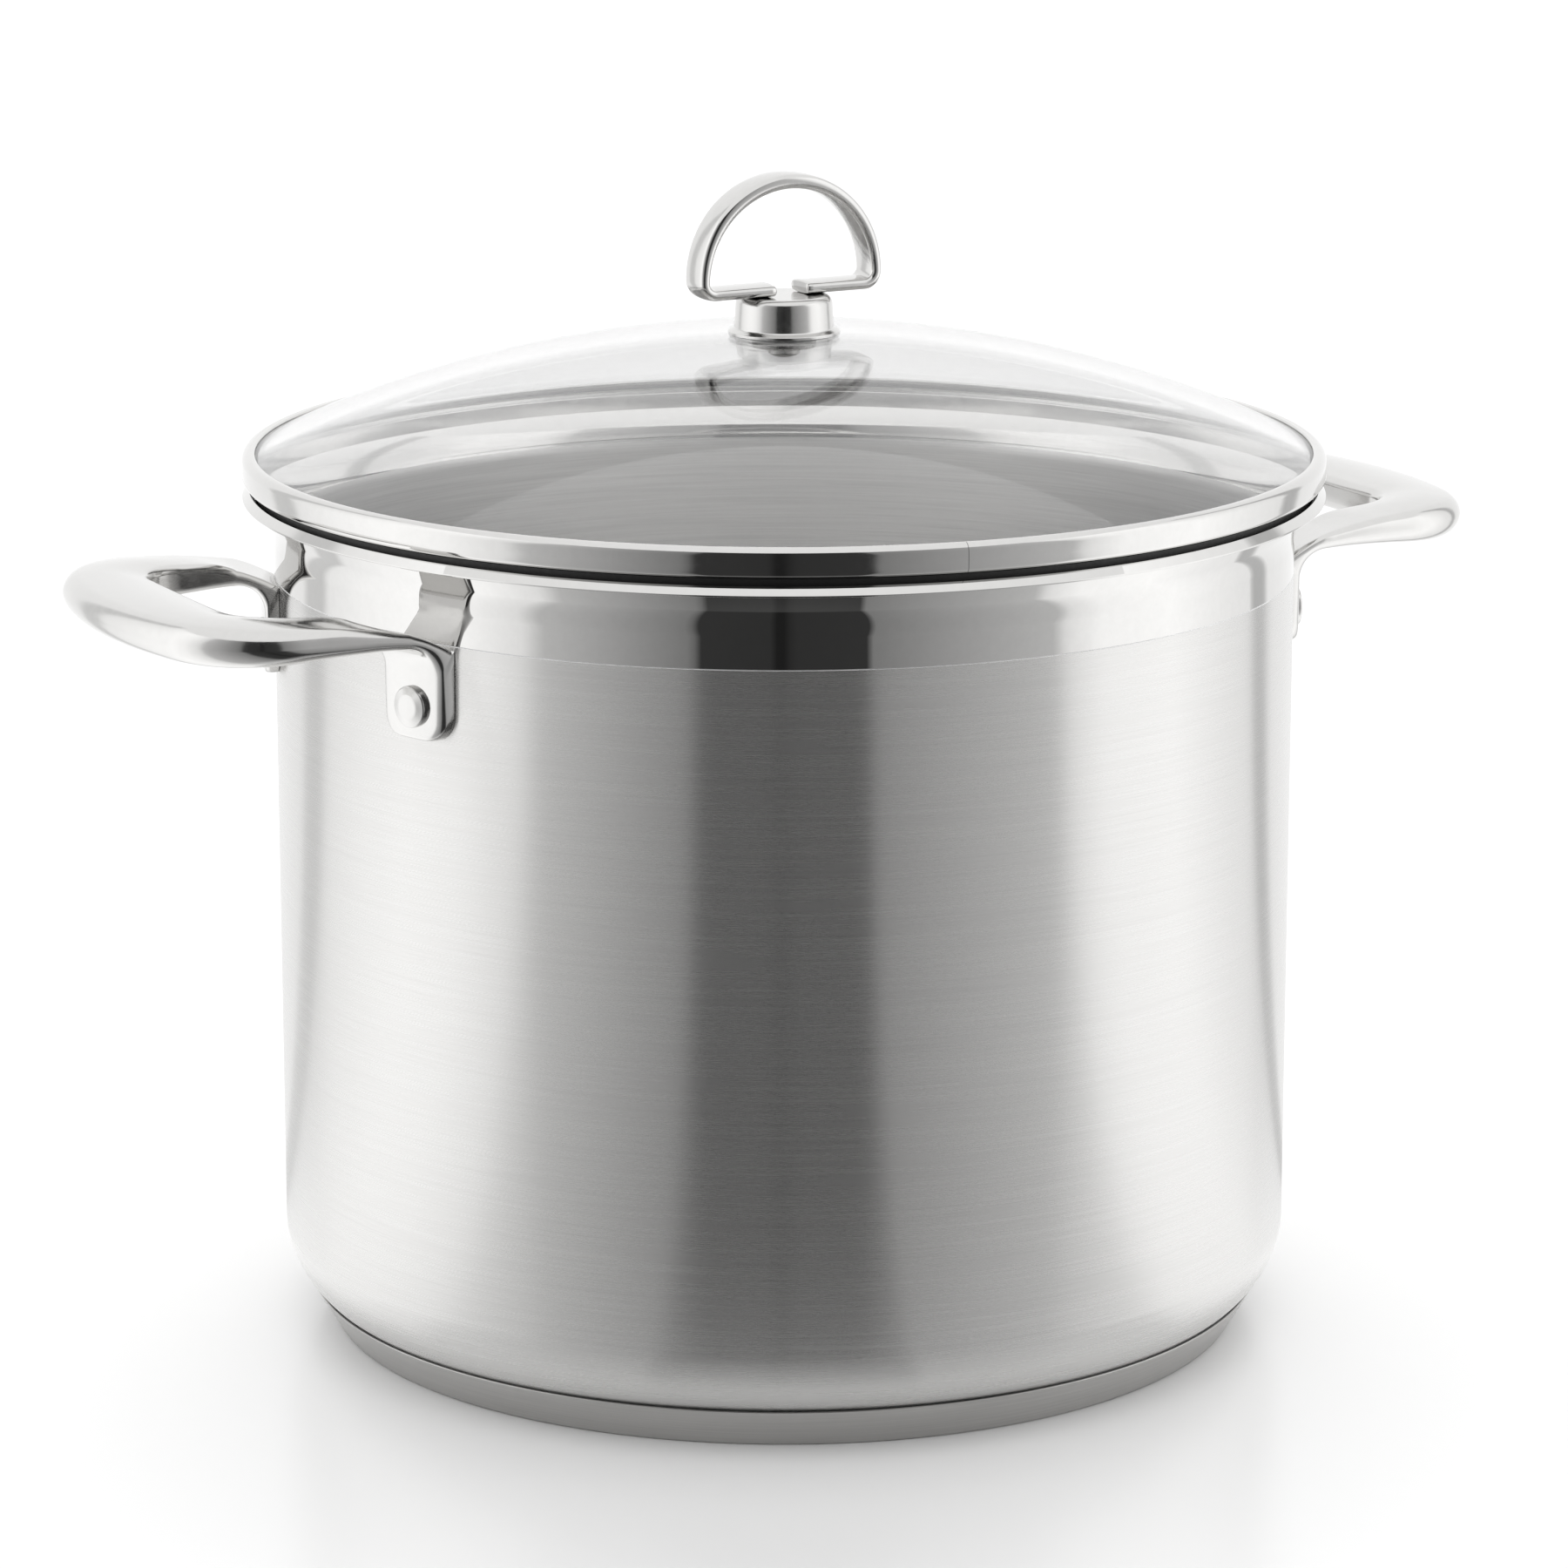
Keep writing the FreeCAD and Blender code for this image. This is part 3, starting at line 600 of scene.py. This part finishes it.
def cup_section():
    flange, foot, top = CUP_HIGH.x, CUP_LOW.z, CUP_HIGH.z
    s = Section(flange, foot)
    s.line(flange, foot + FLANGE_SHEET)
    s.line(CUP_SIDE, foot + 1.3, round_start=0.28)
    s.line(CUP_NECK, top, round_start=0.7)
    s.line(0, top, round_start=2.0)
    s.line(0, top - CUP_SHEET)
    s.line(CUP_NECK - CUP_SHEET, top - CUP_SHEET)
    s.line(CUP_SIDE - CUP_SHEET, foot + 0.7, round_start=1.2)
    s.line(flange - FLANGE_SHEET, foot)
    s.close()
    return s


new_piece("knob_base_cup", "lid", ["knob_cup"], "knob_steel", [cup_polished.material],
          *turned([cup_section()], segments=128))

LOOP_GAP = 4.2                           # half the gap between the two feet
LOOP_CORNER = 4.6
LOOP_STRIP, LOOP_CROWN = 3.0, 3.8        # thickness of the strip at its feet and at the crown
LOOP_EDGE = 1.25                         # radius of the strip's rounded edges
LOOP_CAMBER = 0.42                       # how far its faces fall towards the edges


def strip_stations():
    """(outer point, inner point) pairs in the XZ plane along the strip, left foot to right foot."""
    radius = LOOP_HIGH.x
    foot = LOOP_LOW.z
    widest = foot + LOOP_CORNER
    inner_half = radius - LOOP_STRIP
    inner_rise = radius - LOOP_CROWN
    inner_radius = (inner_half ** 2 + inner_rise ** 2) / (2 * inner_rise)
    drop = inner_radius - inner_rise
    inner_sweep = math.asin(min(1.0, inner_half / inner_radius))
    corner_x = radius - LOOP_CORNER
    half = []
    for i in range(12):                                   # level foot, from the gap outwards
        x = LOOP_GAP + (corner_x - LOOP_GAP) * i / 12
        half.append(((x, foot), (x, foot + LOOP_STRIP)))
    for i in range(14):                                   # bottom corner
        a = math.radians(-90 + 90 * i / 14)
        c, s = math.cos(a), math.sin(a)
        inner = LOOP_CORNER - LOOP_STRIP
        half.append(((corner_x + LOOP_CORNER * c, widest + LOOP_CORNER * s),
                     (corner_x + inner * c, widest + inner * s)))
    for i in range(41):                                   # the bow, up to its crown
        a = math.radians(90 * i / 40)
        b = inner_sweep * (1 - i / 40)
        half.append(((radius * math.cos(a), widest + radius * math.sin(a)),
                     (inner_radius * math.sin(b), widest - drop + inner_radius * math.cos(b))))
    mirrored = [((-o[0], o[1]), (-i[0], i[1])) for o, i in half]
    return mirrored + half[-2::-1]


def strip_outline(half_width, thick, inset):
    """(across, rise) round the strip's section: cambered faces and rounded edges, drawn in by inset."""
    across = half_width - LOOP_EDGE
    points = []

    def height(v):
        return thick / 2 - LOOP_CAMBER * (v / half_width) ** 2

    for up in (1, -1):
        for i in range(9):
            v = (-across + 2 * across * i / 8) * up
            points.append((v, height(v) * up))
        for i in range(1, 8):
            a = math.radians(90 - 180 * i / 8)
            points.append(((across + LOOP_EDGE * math.cos(a)) * up, height(across) * math.sin(a) * up))
    wide, high = 1 - inset / half_width, 1 - inset / (thick / 2)
    return [(v * wide, thick / 2 + rise * high) for v, rise in points]


def knob_loop_mesh():
    half_width = LOOP_HIGH.y
    stations = [(outer, inner, 0.0) for outer, inner in strip_stations()]
    # the two cut ends are eased by extra rings that close in on the strip's middle
    left, right = stations[0], stations[-1]
    ease = ((0.0, 0.4), (0.1, 0.17), (0.4, 0.0))

    def eased(station, push):
        outer, inner, _ = station
        return [((outer[0] + push * step, outer[1]), (inner[0] + push * step, inner[1]), inset)
                for step, inset in ease]

    stations = eased(left, -1) + stations[1:-1] + eased(right, 1)[::-1]
    vertices, faces = [], []
    for outer, inner, inset in stations:
        thick = math.dist(outer, inner)
        unit = ((outer[0] - inner[0]) / thick, (outer[1] - inner[1]) / thick)
        outline = strip_outline(half_width, thick, inset)
        for v, rise in outline:
            vertices.append(((inner[0] + unit[0] * rise) * MM, v * MM, (inner[1] + unit[1] * rise) * MM))
    count = len(outline)
    for r in range(len(stations) - 1):
        for k in range(count):
            n = (k + 1) % count
            faces.append([r * count + k, r * count + n, (r + 1) * count + n, (r + 1) * count + k])
    last = (len(stations) - 1) * count
    faces.append(list(range(count))[::-1])
    faces.append([last + k for k in range(count)])
    return vertices, faces


def outward(vertices, faces):
    """The faces, turned over if the mesh is inside out."""
    volume = 0.0
    for face in faces:
        a = Vector(vertices[face[0]])
        for k in range(1, len(face) - 1):
            volume += a.dot(Vector(vertices[face[k]]).cross(Vector(vertices[face[k + 1]])))
    return faces if volume > 0 else [face[::-1] for face in faces]


loop_vertices, loop_faces = knob_loop_mesh()
loop = new_piece("knob_bow", "lid", ["knob_loop"], "knob_steel", [knob_polished.material],
                 loop_vertices, outward(loop_vertices, loop_faces))
loop.data.set_sharp_from_angle(angle=math.radians(50))


# ---------------------------------------------------------------- handles
PAD_BOTTOM = 160.7
PAD_THICK = 3.4
LEG_IN, LEG_OUT = 32.6, 50.0
LEG_MID = (LEG_IN + LEG_OUT) / 2
LEG_LOW, LEG_TOP = 182.9, 188.8
BEND = 7.0                               # underside, where the pad turns into the leg
TOP_RUN, TOP_RISE = 24.0, 7.0            # the long top curve over the same turn
PAD_CORNER = 5.0
WINDOW_REACH, WINDOW_CORNER = 153.0, 13.0
TIP_RADIUS, GRIP_CORNER = 122.0, 26.0
GRIP_HALF = 5.15                         # half the grip's thickness
EDGE, LEG_EDGE, GRIP_EDGE = 1.7, 2.4, 4.4
BEND_EDGE, PAD_BACK_EDGE = 1.6, 0.4      # edges on the wall's side of the bend and of the pad
CROWN = 0.03
PAD_STEPS = [0.0, 0.12, 0.4, 0.9, 1.6, 2.4, 3.3, 4.2, 5.2, 7, 9, 11, 13]
PAD_END_ROUND = 1.3                      # the pad's face is rounded off over this height
PAD_END_THIN = 0.55
TURN_IN = 6.0                            # how far in from the leg's middle the corner starts
GRIP_BLEND = (128, 159)                  # along the axis, where the leg grows into the grip
ROOT_BLEND = (121, 134)                  # where the leg stops following the round wall


def smooth(x, low, high):
    t = min(1.0, max(0.0, (x - low) / (high - low)))
    return t * t * (3 - 2 * t)


def chord(radius, across=LEG_MID):
    """Distance along the handle's axis at which a circle about the pot's axis is met."""
    return math.sqrt(radius ** 2 - across ** 2)


def top_height(along_axis):
    """Height of the leg's top face at this distance along the handle's axis."""
    short = min(1.0, max(0.0, (chord(WALL) + TOP_RUN - along_axis) / TOP_RUN))
    return LEG_TOP - TOP_RISE * short * short


def handle_stations():
    """The pad and its bend into the leg, pad end first: (low, top, rise above the pad's end).

    low and top are (along, height) of the two faces at the middle of the strap. rise is None
    in the bend.
    """
    wall, face = chord(WALL), chord(WALL + PAD_THICK)
    stations = []
    full = LEG_LOW - BEND - PAD_BOTTOM
    for rise in PAD_STEPS + [full]:
        share = rise / full
        low = (face, PAD_BOTTOM + rise)
        top = (wall, PAD_BOTTOM + (LEG_TOP - TOP_RISE - PAD_BOTTOM) * share)
        stations.append((low, top, rise))
    for i in range(1, 15):
        a = math.radians(180 - 90 * i / 14)
        low = (face + BEND + BEND * math.cos(a), LEG_LOW - BEND + BEND * math.sin(a))
        reach = wall + (face + BEND - wall) * (1 + math.cos(a))
        top = (reach, top_height(reach))
        stations.append((low, top, None))
    return stations


def plan_path():
    """Outer and inner plan outlines of leg, corner and half the tip, matched point by point."""
    tip_centre = HANDLE_HIGH.x - TIP_RADIUS
    corner_v = LEG_OUT - GRIP_CORNER
    corner_u = tip_centre + math.sqrt((TIP_RADIUS - GRIP_CORNER) ** 2 - corner_v ** 2)
    tip_angle = math.degrees(math.atan2(corner_v, corner_u - tip_centre))
    start = chord(WALL + PAD_THICK) + BEND
    inner_u = WINDOW_REACH - WINDOW_CORNER
    inner_v = LEG_IN - WINDOW_CORNER
    pairs = []
    for i in range(1, 17):
        t = i / 16
        pairs.append(((start + (corner_u - start) * t, LEG_OUT), (start + (inner_u - start) * t, LEG_IN)))
    for i in range(1, 29):
        t = i / 28
        a = math.radians(90 - (90 - tip_angle) * t)
        b = math.radians(90 - 90 * t)
        pairs.append((
            (corner_u + GRIP_CORNER * math.cos(a), corner_v + GRIP_CORNER * math.sin(a)),
            (inner_u + WINDOW_CORNER * math.cos(b), inner_v + WINDOW_CORNER * math.sin(b))))
    for i in range(1, 17):
        t = i / 16
        a = math.radians(tip_angle * (1 - t))
        pairs.append((
            (tip_centre + TIP_RADIUS * math.cos(a), TIP_RADIUS * math.sin(a)),
            (WINDOW_REACH, inner_v * (1 - t))))
    return pairs


def strap_section(half_width, half_low, half_top, edges, crowns):
    """Points (across, up) round a strap: crowned faces, with four edge radii.

    edges is (outer top, inner top, inner bottom, outer bottom) and crowns is how much each half
    of the faces falls towards (outer, inner), as a share of the half thickness.
    """
    def face_height(w, half):
        crown = crowns[0] if w > 0 else crowns[1]
        return half * (1 - crown * w * w)

    points = []
    corners = ((1, 1, edges[0]), (-1, 1, edges[1]), (-1, -1, edges[2]), (1, -1, edges[3]))
    for number, (side, up, radius) in enumerate(corners):
        half = half_top if up > 0 else half_low
        limit = face_height(side, half)
        radius = min(radius, limit * 0.999, half_width * 0.9)
        arc = []
        for i in range(9):
            a = math.radians(90 * i / 8)
            across = half_width - radius + radius * math.cos(a)
            w = across / half_width
            up_at = face_height(w, half) - radius + radius * math.sin(a)
            arc.append((across * side, up_at * up))
        if side * up < 0:
            arc.reverse()
        points.extend(arc)
        nxt = corners[(number + 1) % 4]
        if nxt[1] == up:                                  # across the top or bottom face
            r_here, r_next = radius, min(nxt[2], face_height(nxt[0], half) * 0.999)
            begin = (half_width - r_here) * side
            finish = (half_width - r_next) * nxt[0]
            for i in range(1, 12):
                across = begin + (finish - begin) * i / 12
                points.append((across, face_height(across / half_width, half) * up))
    return points


def handle_mesh(side):
    """One handle on +X (side 1) or -X (side -1)."""
    half = []
    for low, top, rise in handle_stations():
        middle = ((low[0] + top[0]) / 2, (low[1] + top[1]) / 2)
        thick = math.dist(low, top)
        up = ((top[0] - low[0]) / thick, (top[1] - low[1]) / thick)
        half_thick = thick / 2
        corner_trim, face_trim, back_edge = 0.0, 0.0, BEND_EDGE
        if rise is not None:
            back_edge = PAD_BACK_EDGE
            face_trim = 1.0 - math.sqrt(1 - (1 - min(1.0, rise / PAD_END_ROUND)) ** 2)
            if rise < PAD_CORNER:
                corner_trim = PAD_CORNER - math.sqrt(PAD_CORNER ** 2 - (PAD_CORNER - rise) ** 2)
        half.append(dict(centre=(middle[0], LEG_MID, middle[1]), across=(0.0, 1.0, 0.0),
                         up=(up[0], 0.0, up[1]), width=(LEG_OUT - LEG_IN) / 2 - corner_trim,
                         low=half_thick, top=half_thick, edges=(back_edge, back_edge, EDGE, EDGE),
                         crowns=(CROWN, CROWN), face_trim=face_trim, pad=1.0))
    for outer, inner in plan_path():
        width = math.dist(outer, inner) / 2
        across = ((outer[0] - inner[0]) / (2 * width), (outer[1] - inner[1]) / (2 * width), 0.0)
        centre = ((outer[0] + inner[0]) / 2, (outer[1] + inner[1]) / 2)
        reach = centre[0] + max(0.0, LEG_MID - TURN_IN - centre[1])
        grow = smooth(reach, *GRIP_BLEND)
        leg_top = top_height(centre[0])
        thick = (leg_top - LEG_LOW) / 2
        thick += (GRIP_HALF - thick) * grow
        edge = LEG_EDGE + (GRIP_EDGE - LEG_EDGE) * grow
        half.append(dict(centre=(centre[0], centre[1], (leg_top + LEG_LOW) / 2), across=across,
                         up=(0.0, 0.0, 1.0), width=width, low=thick, top=thick,
                         edges=(edge, EDGE, EDGE, edge),
                         crowns=(CROWN + 0.27 * grow, CROWN + 0.30 * grow),
                         face_trim=0.0, pad=1 - smooth(centre[0], *ROOT_BLEND)))
    stations = half + [dict(s, centre=(s["centre"][0], -s["centre"][1], s["centre"][2]),
                            across=(s["across"][0], -s["across"][1], 0.0)) for s in reversed(half[:-1])]
    wall_mid = WALL + PAD_THICK / 2
    vertices, rings = [], []
    for s in stations:
        first = len(vertices)
        for across, up in strap_section(s["width"], s["low"], s["top"], s["edges"], s["crowns"]):
            if s["face_trim"] and up < 0:
                up *= 1 - PAD_END_THIN * s["face_trim"]
            x, y, z = (s["centre"][k] + s["across"][k] * across + s["up"][k] * up for k in range(3))
            if s["pad"]:
                # the pads and the roots of the legs follow the round wall
                x += s["pad"] * (chord(wall_mid, y) - chord(wall_mid))
            vertices.append((x * side * MM, y * side * MM, z * MM))
        rings.append(range(first, len(vertices)))
    faces = []
    for a, b in zip(rings, rings[1:]):
        for k in range(len(a)):
            n = (k + 1) % len(a)
            faces.append([a[k], a[n], b[n], b[k]])
    faces.append(list(rings[0])[::-1])
    faces.append(list(rings[-1]))
    return vertices, outward(vertices, faces)


for name, node, side in (("right_handle_bar", "right_handle", 1), ("left_handle_bar", "left_handle", -1)):
    bar = new_piece(name, "pot", [node], "handle_steel", [handle_polished.material], *handle_mesh(side))
    bar.data.set_sharp_from_angle(angle=math.radians(60))


# ---------------------------------------------------------------- rivets
def rivet_sections():
    """The outer head on the pad and the inner head on the wall, along the rivet's own axis."""
    seat = WALL + PAD_THICK - 0.15
    head = Section(0, seat)
    head.line(RIVET_HEAD, seat)
    head.line(RIVET_HEAD - 0.08, seat + 1.25)
    head.line(RIVET_HEAD * 0.55, seat + 1.92, round_start=0.5)
    head.line(0.0, seat + 2.03, round_start=3.0)
    inner_seat = math.sqrt(INNER ** 2 - RIVET_INNER ** 2) + 0.08
    inside = Section(0, inner_seat - 1.45)
    inside.line(3.0, inner_seat - 1.2)
    inside.line(RIVET_INNER, inner_seat - 0.5, round_start=3.0)
    inside.line(RIVET_INNER, inner_seat, round_start=0.35)
    inside.line(0, inner_seat)
    return [head, inside]


for node, turn in (("right_rear_rivet", RIVET_TURN), ("right_front_rivet", -RIVET_TURN),
                   ("left_front_rivet", 180 + RIVET_TURN), ("left_rear_rivet", 180 - RIVET_TURN)):
    points, faces, finishes, normals = turned(rivet_sections(), segments=64)
    c, s = math.cos(math.radians(turn)), math.sin(math.radians(turn))

    def placed(v, lift):
        """The rivet's own axis, Z, laid along the radius at this azimuth."""
        return (v[2] * c - v[1] * s, v[2] * s + v[1] * c, -v[0] + lift)

    new_piece(node + "_heads", "pot", [node], "rivet_steel", [rivet_satin.material],
              [placed(v, RIVET_HEIGHT * MM) for v in points], faces, finishes,
              [placed(n, 0.0) for n in normals])


# ---------------------------------------------------------------- carried-over CAD nodes
for node, surface in {"base_core": core_aluminium, "knob_nut": fastener_satin,
                      "knob_gasket": clear_silicone, "glass_bushing": clear_silicone,
                      "seal_washer": clear_silicone, "knob_washer": fastener_satin,
                      "knob_screw": fastener_satin}.items():
    for material_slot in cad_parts[node].material_slots:
        material_slot.material = surface.material


# ---------------------------------------------------------------- camera
CAMERA_AZIMUTH = -28.3                   # degrees round from -Y
CAMERA_DROP = 13.443                     # degrees below level
CAMERA_DISTANCE = 1.4174                 # level distance from the axis, in metres
CAMERA_HEIGHT = 0.4672
LENS = 139.545

azimuth, drop = math.radians(CAMERA_AZIMUTH), math.radians(CAMERA_DROP)
camera_data = bpy.data.cameras.new("camera")
camera_data.lens = LENS
camera_data.sensor_width = 36.0
camera = bpy.data.objects.new("camera", camera_data)
camera.location = (CAMERA_DISTANCE * math.sin(azimuth), -CAMERA_DISTANCE * math.cos(azimuth), CAMERA_HEIGHT)
ahead = Vector((-math.sin(azimuth) * math.cos(drop), math.cos(azimuth) * math.cos(drop), -math.sin(drop)))
camera.rotation_euler = ahead.to_track_quat("-Z", "Y").to_euler()
bpy.context.scene.collection.objects.link(camera)
bpy.context.scene.camera = camera


# ---------------------------------------------------------------- stage
def stage_mesh(name, rings, material, segments=96, filled=False):
    """A surface turned about Z through (radius, height) rings, in metres; filled closes the first."""
    vertices, faces = [], []
    for radius, height in rings:
        for j in range(segments):
            a = TURN * j / segments
            vertices.append((radius * math.cos(a), radius * math.sin(a), height))
    for r in range(len(rings) - 1):
        for j in range(segments):
            k = (j + 1) % segments
            faces.append([r * segments + j, r * segments + k, (r + 1) * segments + k, (r + 1) * segments + j])
    if filled:
        faces.append(list(range(segments))[::-1])
    mesh = bpy.data.meshes.new(name)
    mesh.from_pydata(vertices, [], faces)
    mesh.polygons.foreach_set("use_smooth", [True] * len(faces))
    mesh.materials.append(material)
    thing = bpy.data.objects.new(name, mesh)
    bpy.context.scene.collection.objects.link(thing)
    return thing


def floor_surface():
    """White acrylic: almost even and a soft gloss. Its colour is painted shade, a little darker near the
    object and brighter away from it.
    """
    s = Surface("floor_white", (0.93, 0.93, 0.93), 0.0, 0.22)
    x, y, _ = s.split(s.position())
    far = s.maths("SQRT", s.maths("ADD", s.maths("MULTIPLY", x, x), s.maths("MULTIPLY", y, y)))
    # painted shade: the colour is a little darker near the object than far from it
    s.set(s.shader, "Base Color", s.mix(s.span(far, 0.2, 1.6, smooth=True),
                                         (0.95, 0.95, 0.95), (0.97, 0.97, 0.97)))
    s.set(s.shader, "Specular IOR Level", 0.7)
    return s


FLOOR_RADII = (0.01, 0.2, 0.6, 1.6, 7.0, 60.0)
stage_mesh("floor", [(radius, 0.0) for radius in FLOOR_RADII], floor_surface().material, filled=True)

# Brightness all round, as reflections show it: (heading in degrees, brightness), listed and
# compared with the photo's light and dark zones. Heading 0 is the photo camera's own direction and
# grows to that camera's right. The stage stays put when another view moves the camera.
SURROUNDINGS = (
    (-180, 1.1), (-150, 1.1), (-130, 1.1),                                    # white, behind
    (-127, 0.8), (-119, 0.8), (-116, 1.15),                                   # a greyer stretch
    (-100, 1.35), (-85, 1.45), (-70, 1.35), (-56, 1.05), (-51, 0.66),         # bright, to the left
    (-30, 0.38), (-18.4, 0.24), (-18.0, 0.045), (-1.7, 0.04),                 # dark gap, left half
    (-1.4, 0.018), (1.2, 0.018),                                              # its darkest strip
    (1.5, 0.04), (17.7, 0.045), (18.1, 0.26), (30, 0.38),                     # dark gap, right half
    (58, 0.66), (61, 1.05), (70, 1.35), (90, 1.45), (110, 1.2), (121, 1.1),   # bright, to the right
    (123, 0.62), (129, 0.62), (132, 1.1),                                     # a greyer stretch
    (150, 1.1), (180, 1.1))                                                   # white, behind
CURTAIN_RINGS = ((0.13, 0.001), (0.46, 0.001), (1.0, 0.001), (1.0, 0.6), (1.0, 1.2))
NEAR_FLOOR = (1.1, 1.1, 1.1)
NEAR_SHARE = 0.6                         # share of the surroundings left in the floor by the pot
NEAR_END = 0.2                           # where the floor's own light has faded out, in metres


def curtain_surface():
    """The glow of the stage that the steel and glass reflect. It isn't part of the pot."""
    s = Surface("curtain_glow", (0, 0, 0), 0.0, 1.0)
    x, y, _ = s.split(s.position())
    heading = s.maths("ARCTAN2", s.maths("ADD", s.maths("MULTIPLY", x, math.cos(azimuth)),
                                         s.maths("MULTIPLY", y, math.sin(azimuth))),
                      s.maths("SUBTRACT", s.maths("MULTIPLY", x, math.sin(azimuth)),
                              s.maths("MULTIPLY", y, math.cos(azimuth))))
    level = s.add("ShaderNodeValToRGB", {"Fac": s.span(heading, -math.pi, math.pi)})
    ramp = level.node.color_ramp
    ramp.interpolation = "LINEAR"
    while len(ramp.elements) < len(SURROUNDINGS):
        ramp.elements.new(0.5)
    for element, (degrees, value) in zip(ramp.elements, SURROUNDINGS):
        element.position = (degrees + 180) / 360
        element.color = (value, value, value, 1.0)
    radius = s.maths("SQRT", s.maths("ADD", s.maths("MULTIPLY", x, x), s.maths("MULTIPLY", y, y)))
    # close to the object the floor evens the walls out
    near = s.mix(NEAR_SHARE, NEAR_FLOOR, level)
    away = s.span(radius, CURTAIN_RINGS[0][0], NEAR_END, smooth=True)
    s.set(s.shader, "Emission Color", s.mix(away, near, level))
    s.set(s.shader, "Emission Strength", 1.0)
    s.set(s.shader, "Specular IOR Level", 0.0)
    # only one side glows: light passes through the other, so that the floor doesn't mirror it
    s.set(s.shader, "Alpha", s.add("ShaderNodeNewGeometry", {}, output=6))
    return s


curtain = stage_mesh("curtain", CURTAIN_RINGS, curtain_surface().material)
curtain.visible_camera = False
curtain.visible_diffuse = False
curtain.visible_shadow = False
curtain.visible_volume_scatter = False

LAMP_SIZE, LAMP_POWER = 2.4, 11.0
LAMP_DISTANCE, LAMP_HEIGHT = 1.5, 1.9
WORLD_WHITE = (1.0, 1.0, 1.0, 1.0)
WORLD_STRENGTH = 1.1

lamp_data = bpy.data.lights.new("soft_back_light", "AREA")
lamp_data.shape = "DISK"
lamp_data.size = LAMP_SIZE
lamp_data.energy = LAMP_POWER
lamp = bpy.data.objects.new("soft_back_light", lamp_data)
lamp.location = (-LAMP_DISTANCE * math.sin(azimuth), LAMP_DISTANCE * math.cos(azimuth), LAMP_HEIGHT)
lamp.rotation_euler = (-lamp.location).to_track_quat("-Z", "Y").to_euler()
lamp.visible_glossy = False
lamp.visible_camera = False
bpy.context.scene.collection.objects.link(lamp)

world = bpy.data.worlds.new("studio")
world.use_nodes = True
world.node_tree.nodes["Background"].inputs["Color"].default_value = WORLD_WHITE
world.node_tree.nodes["Background"].inputs["Strength"].default_value = WORLD_STRENGTH
bpy.context.scene.world = world
bpy.context.scene.view_settings.view_transform = "Standard"
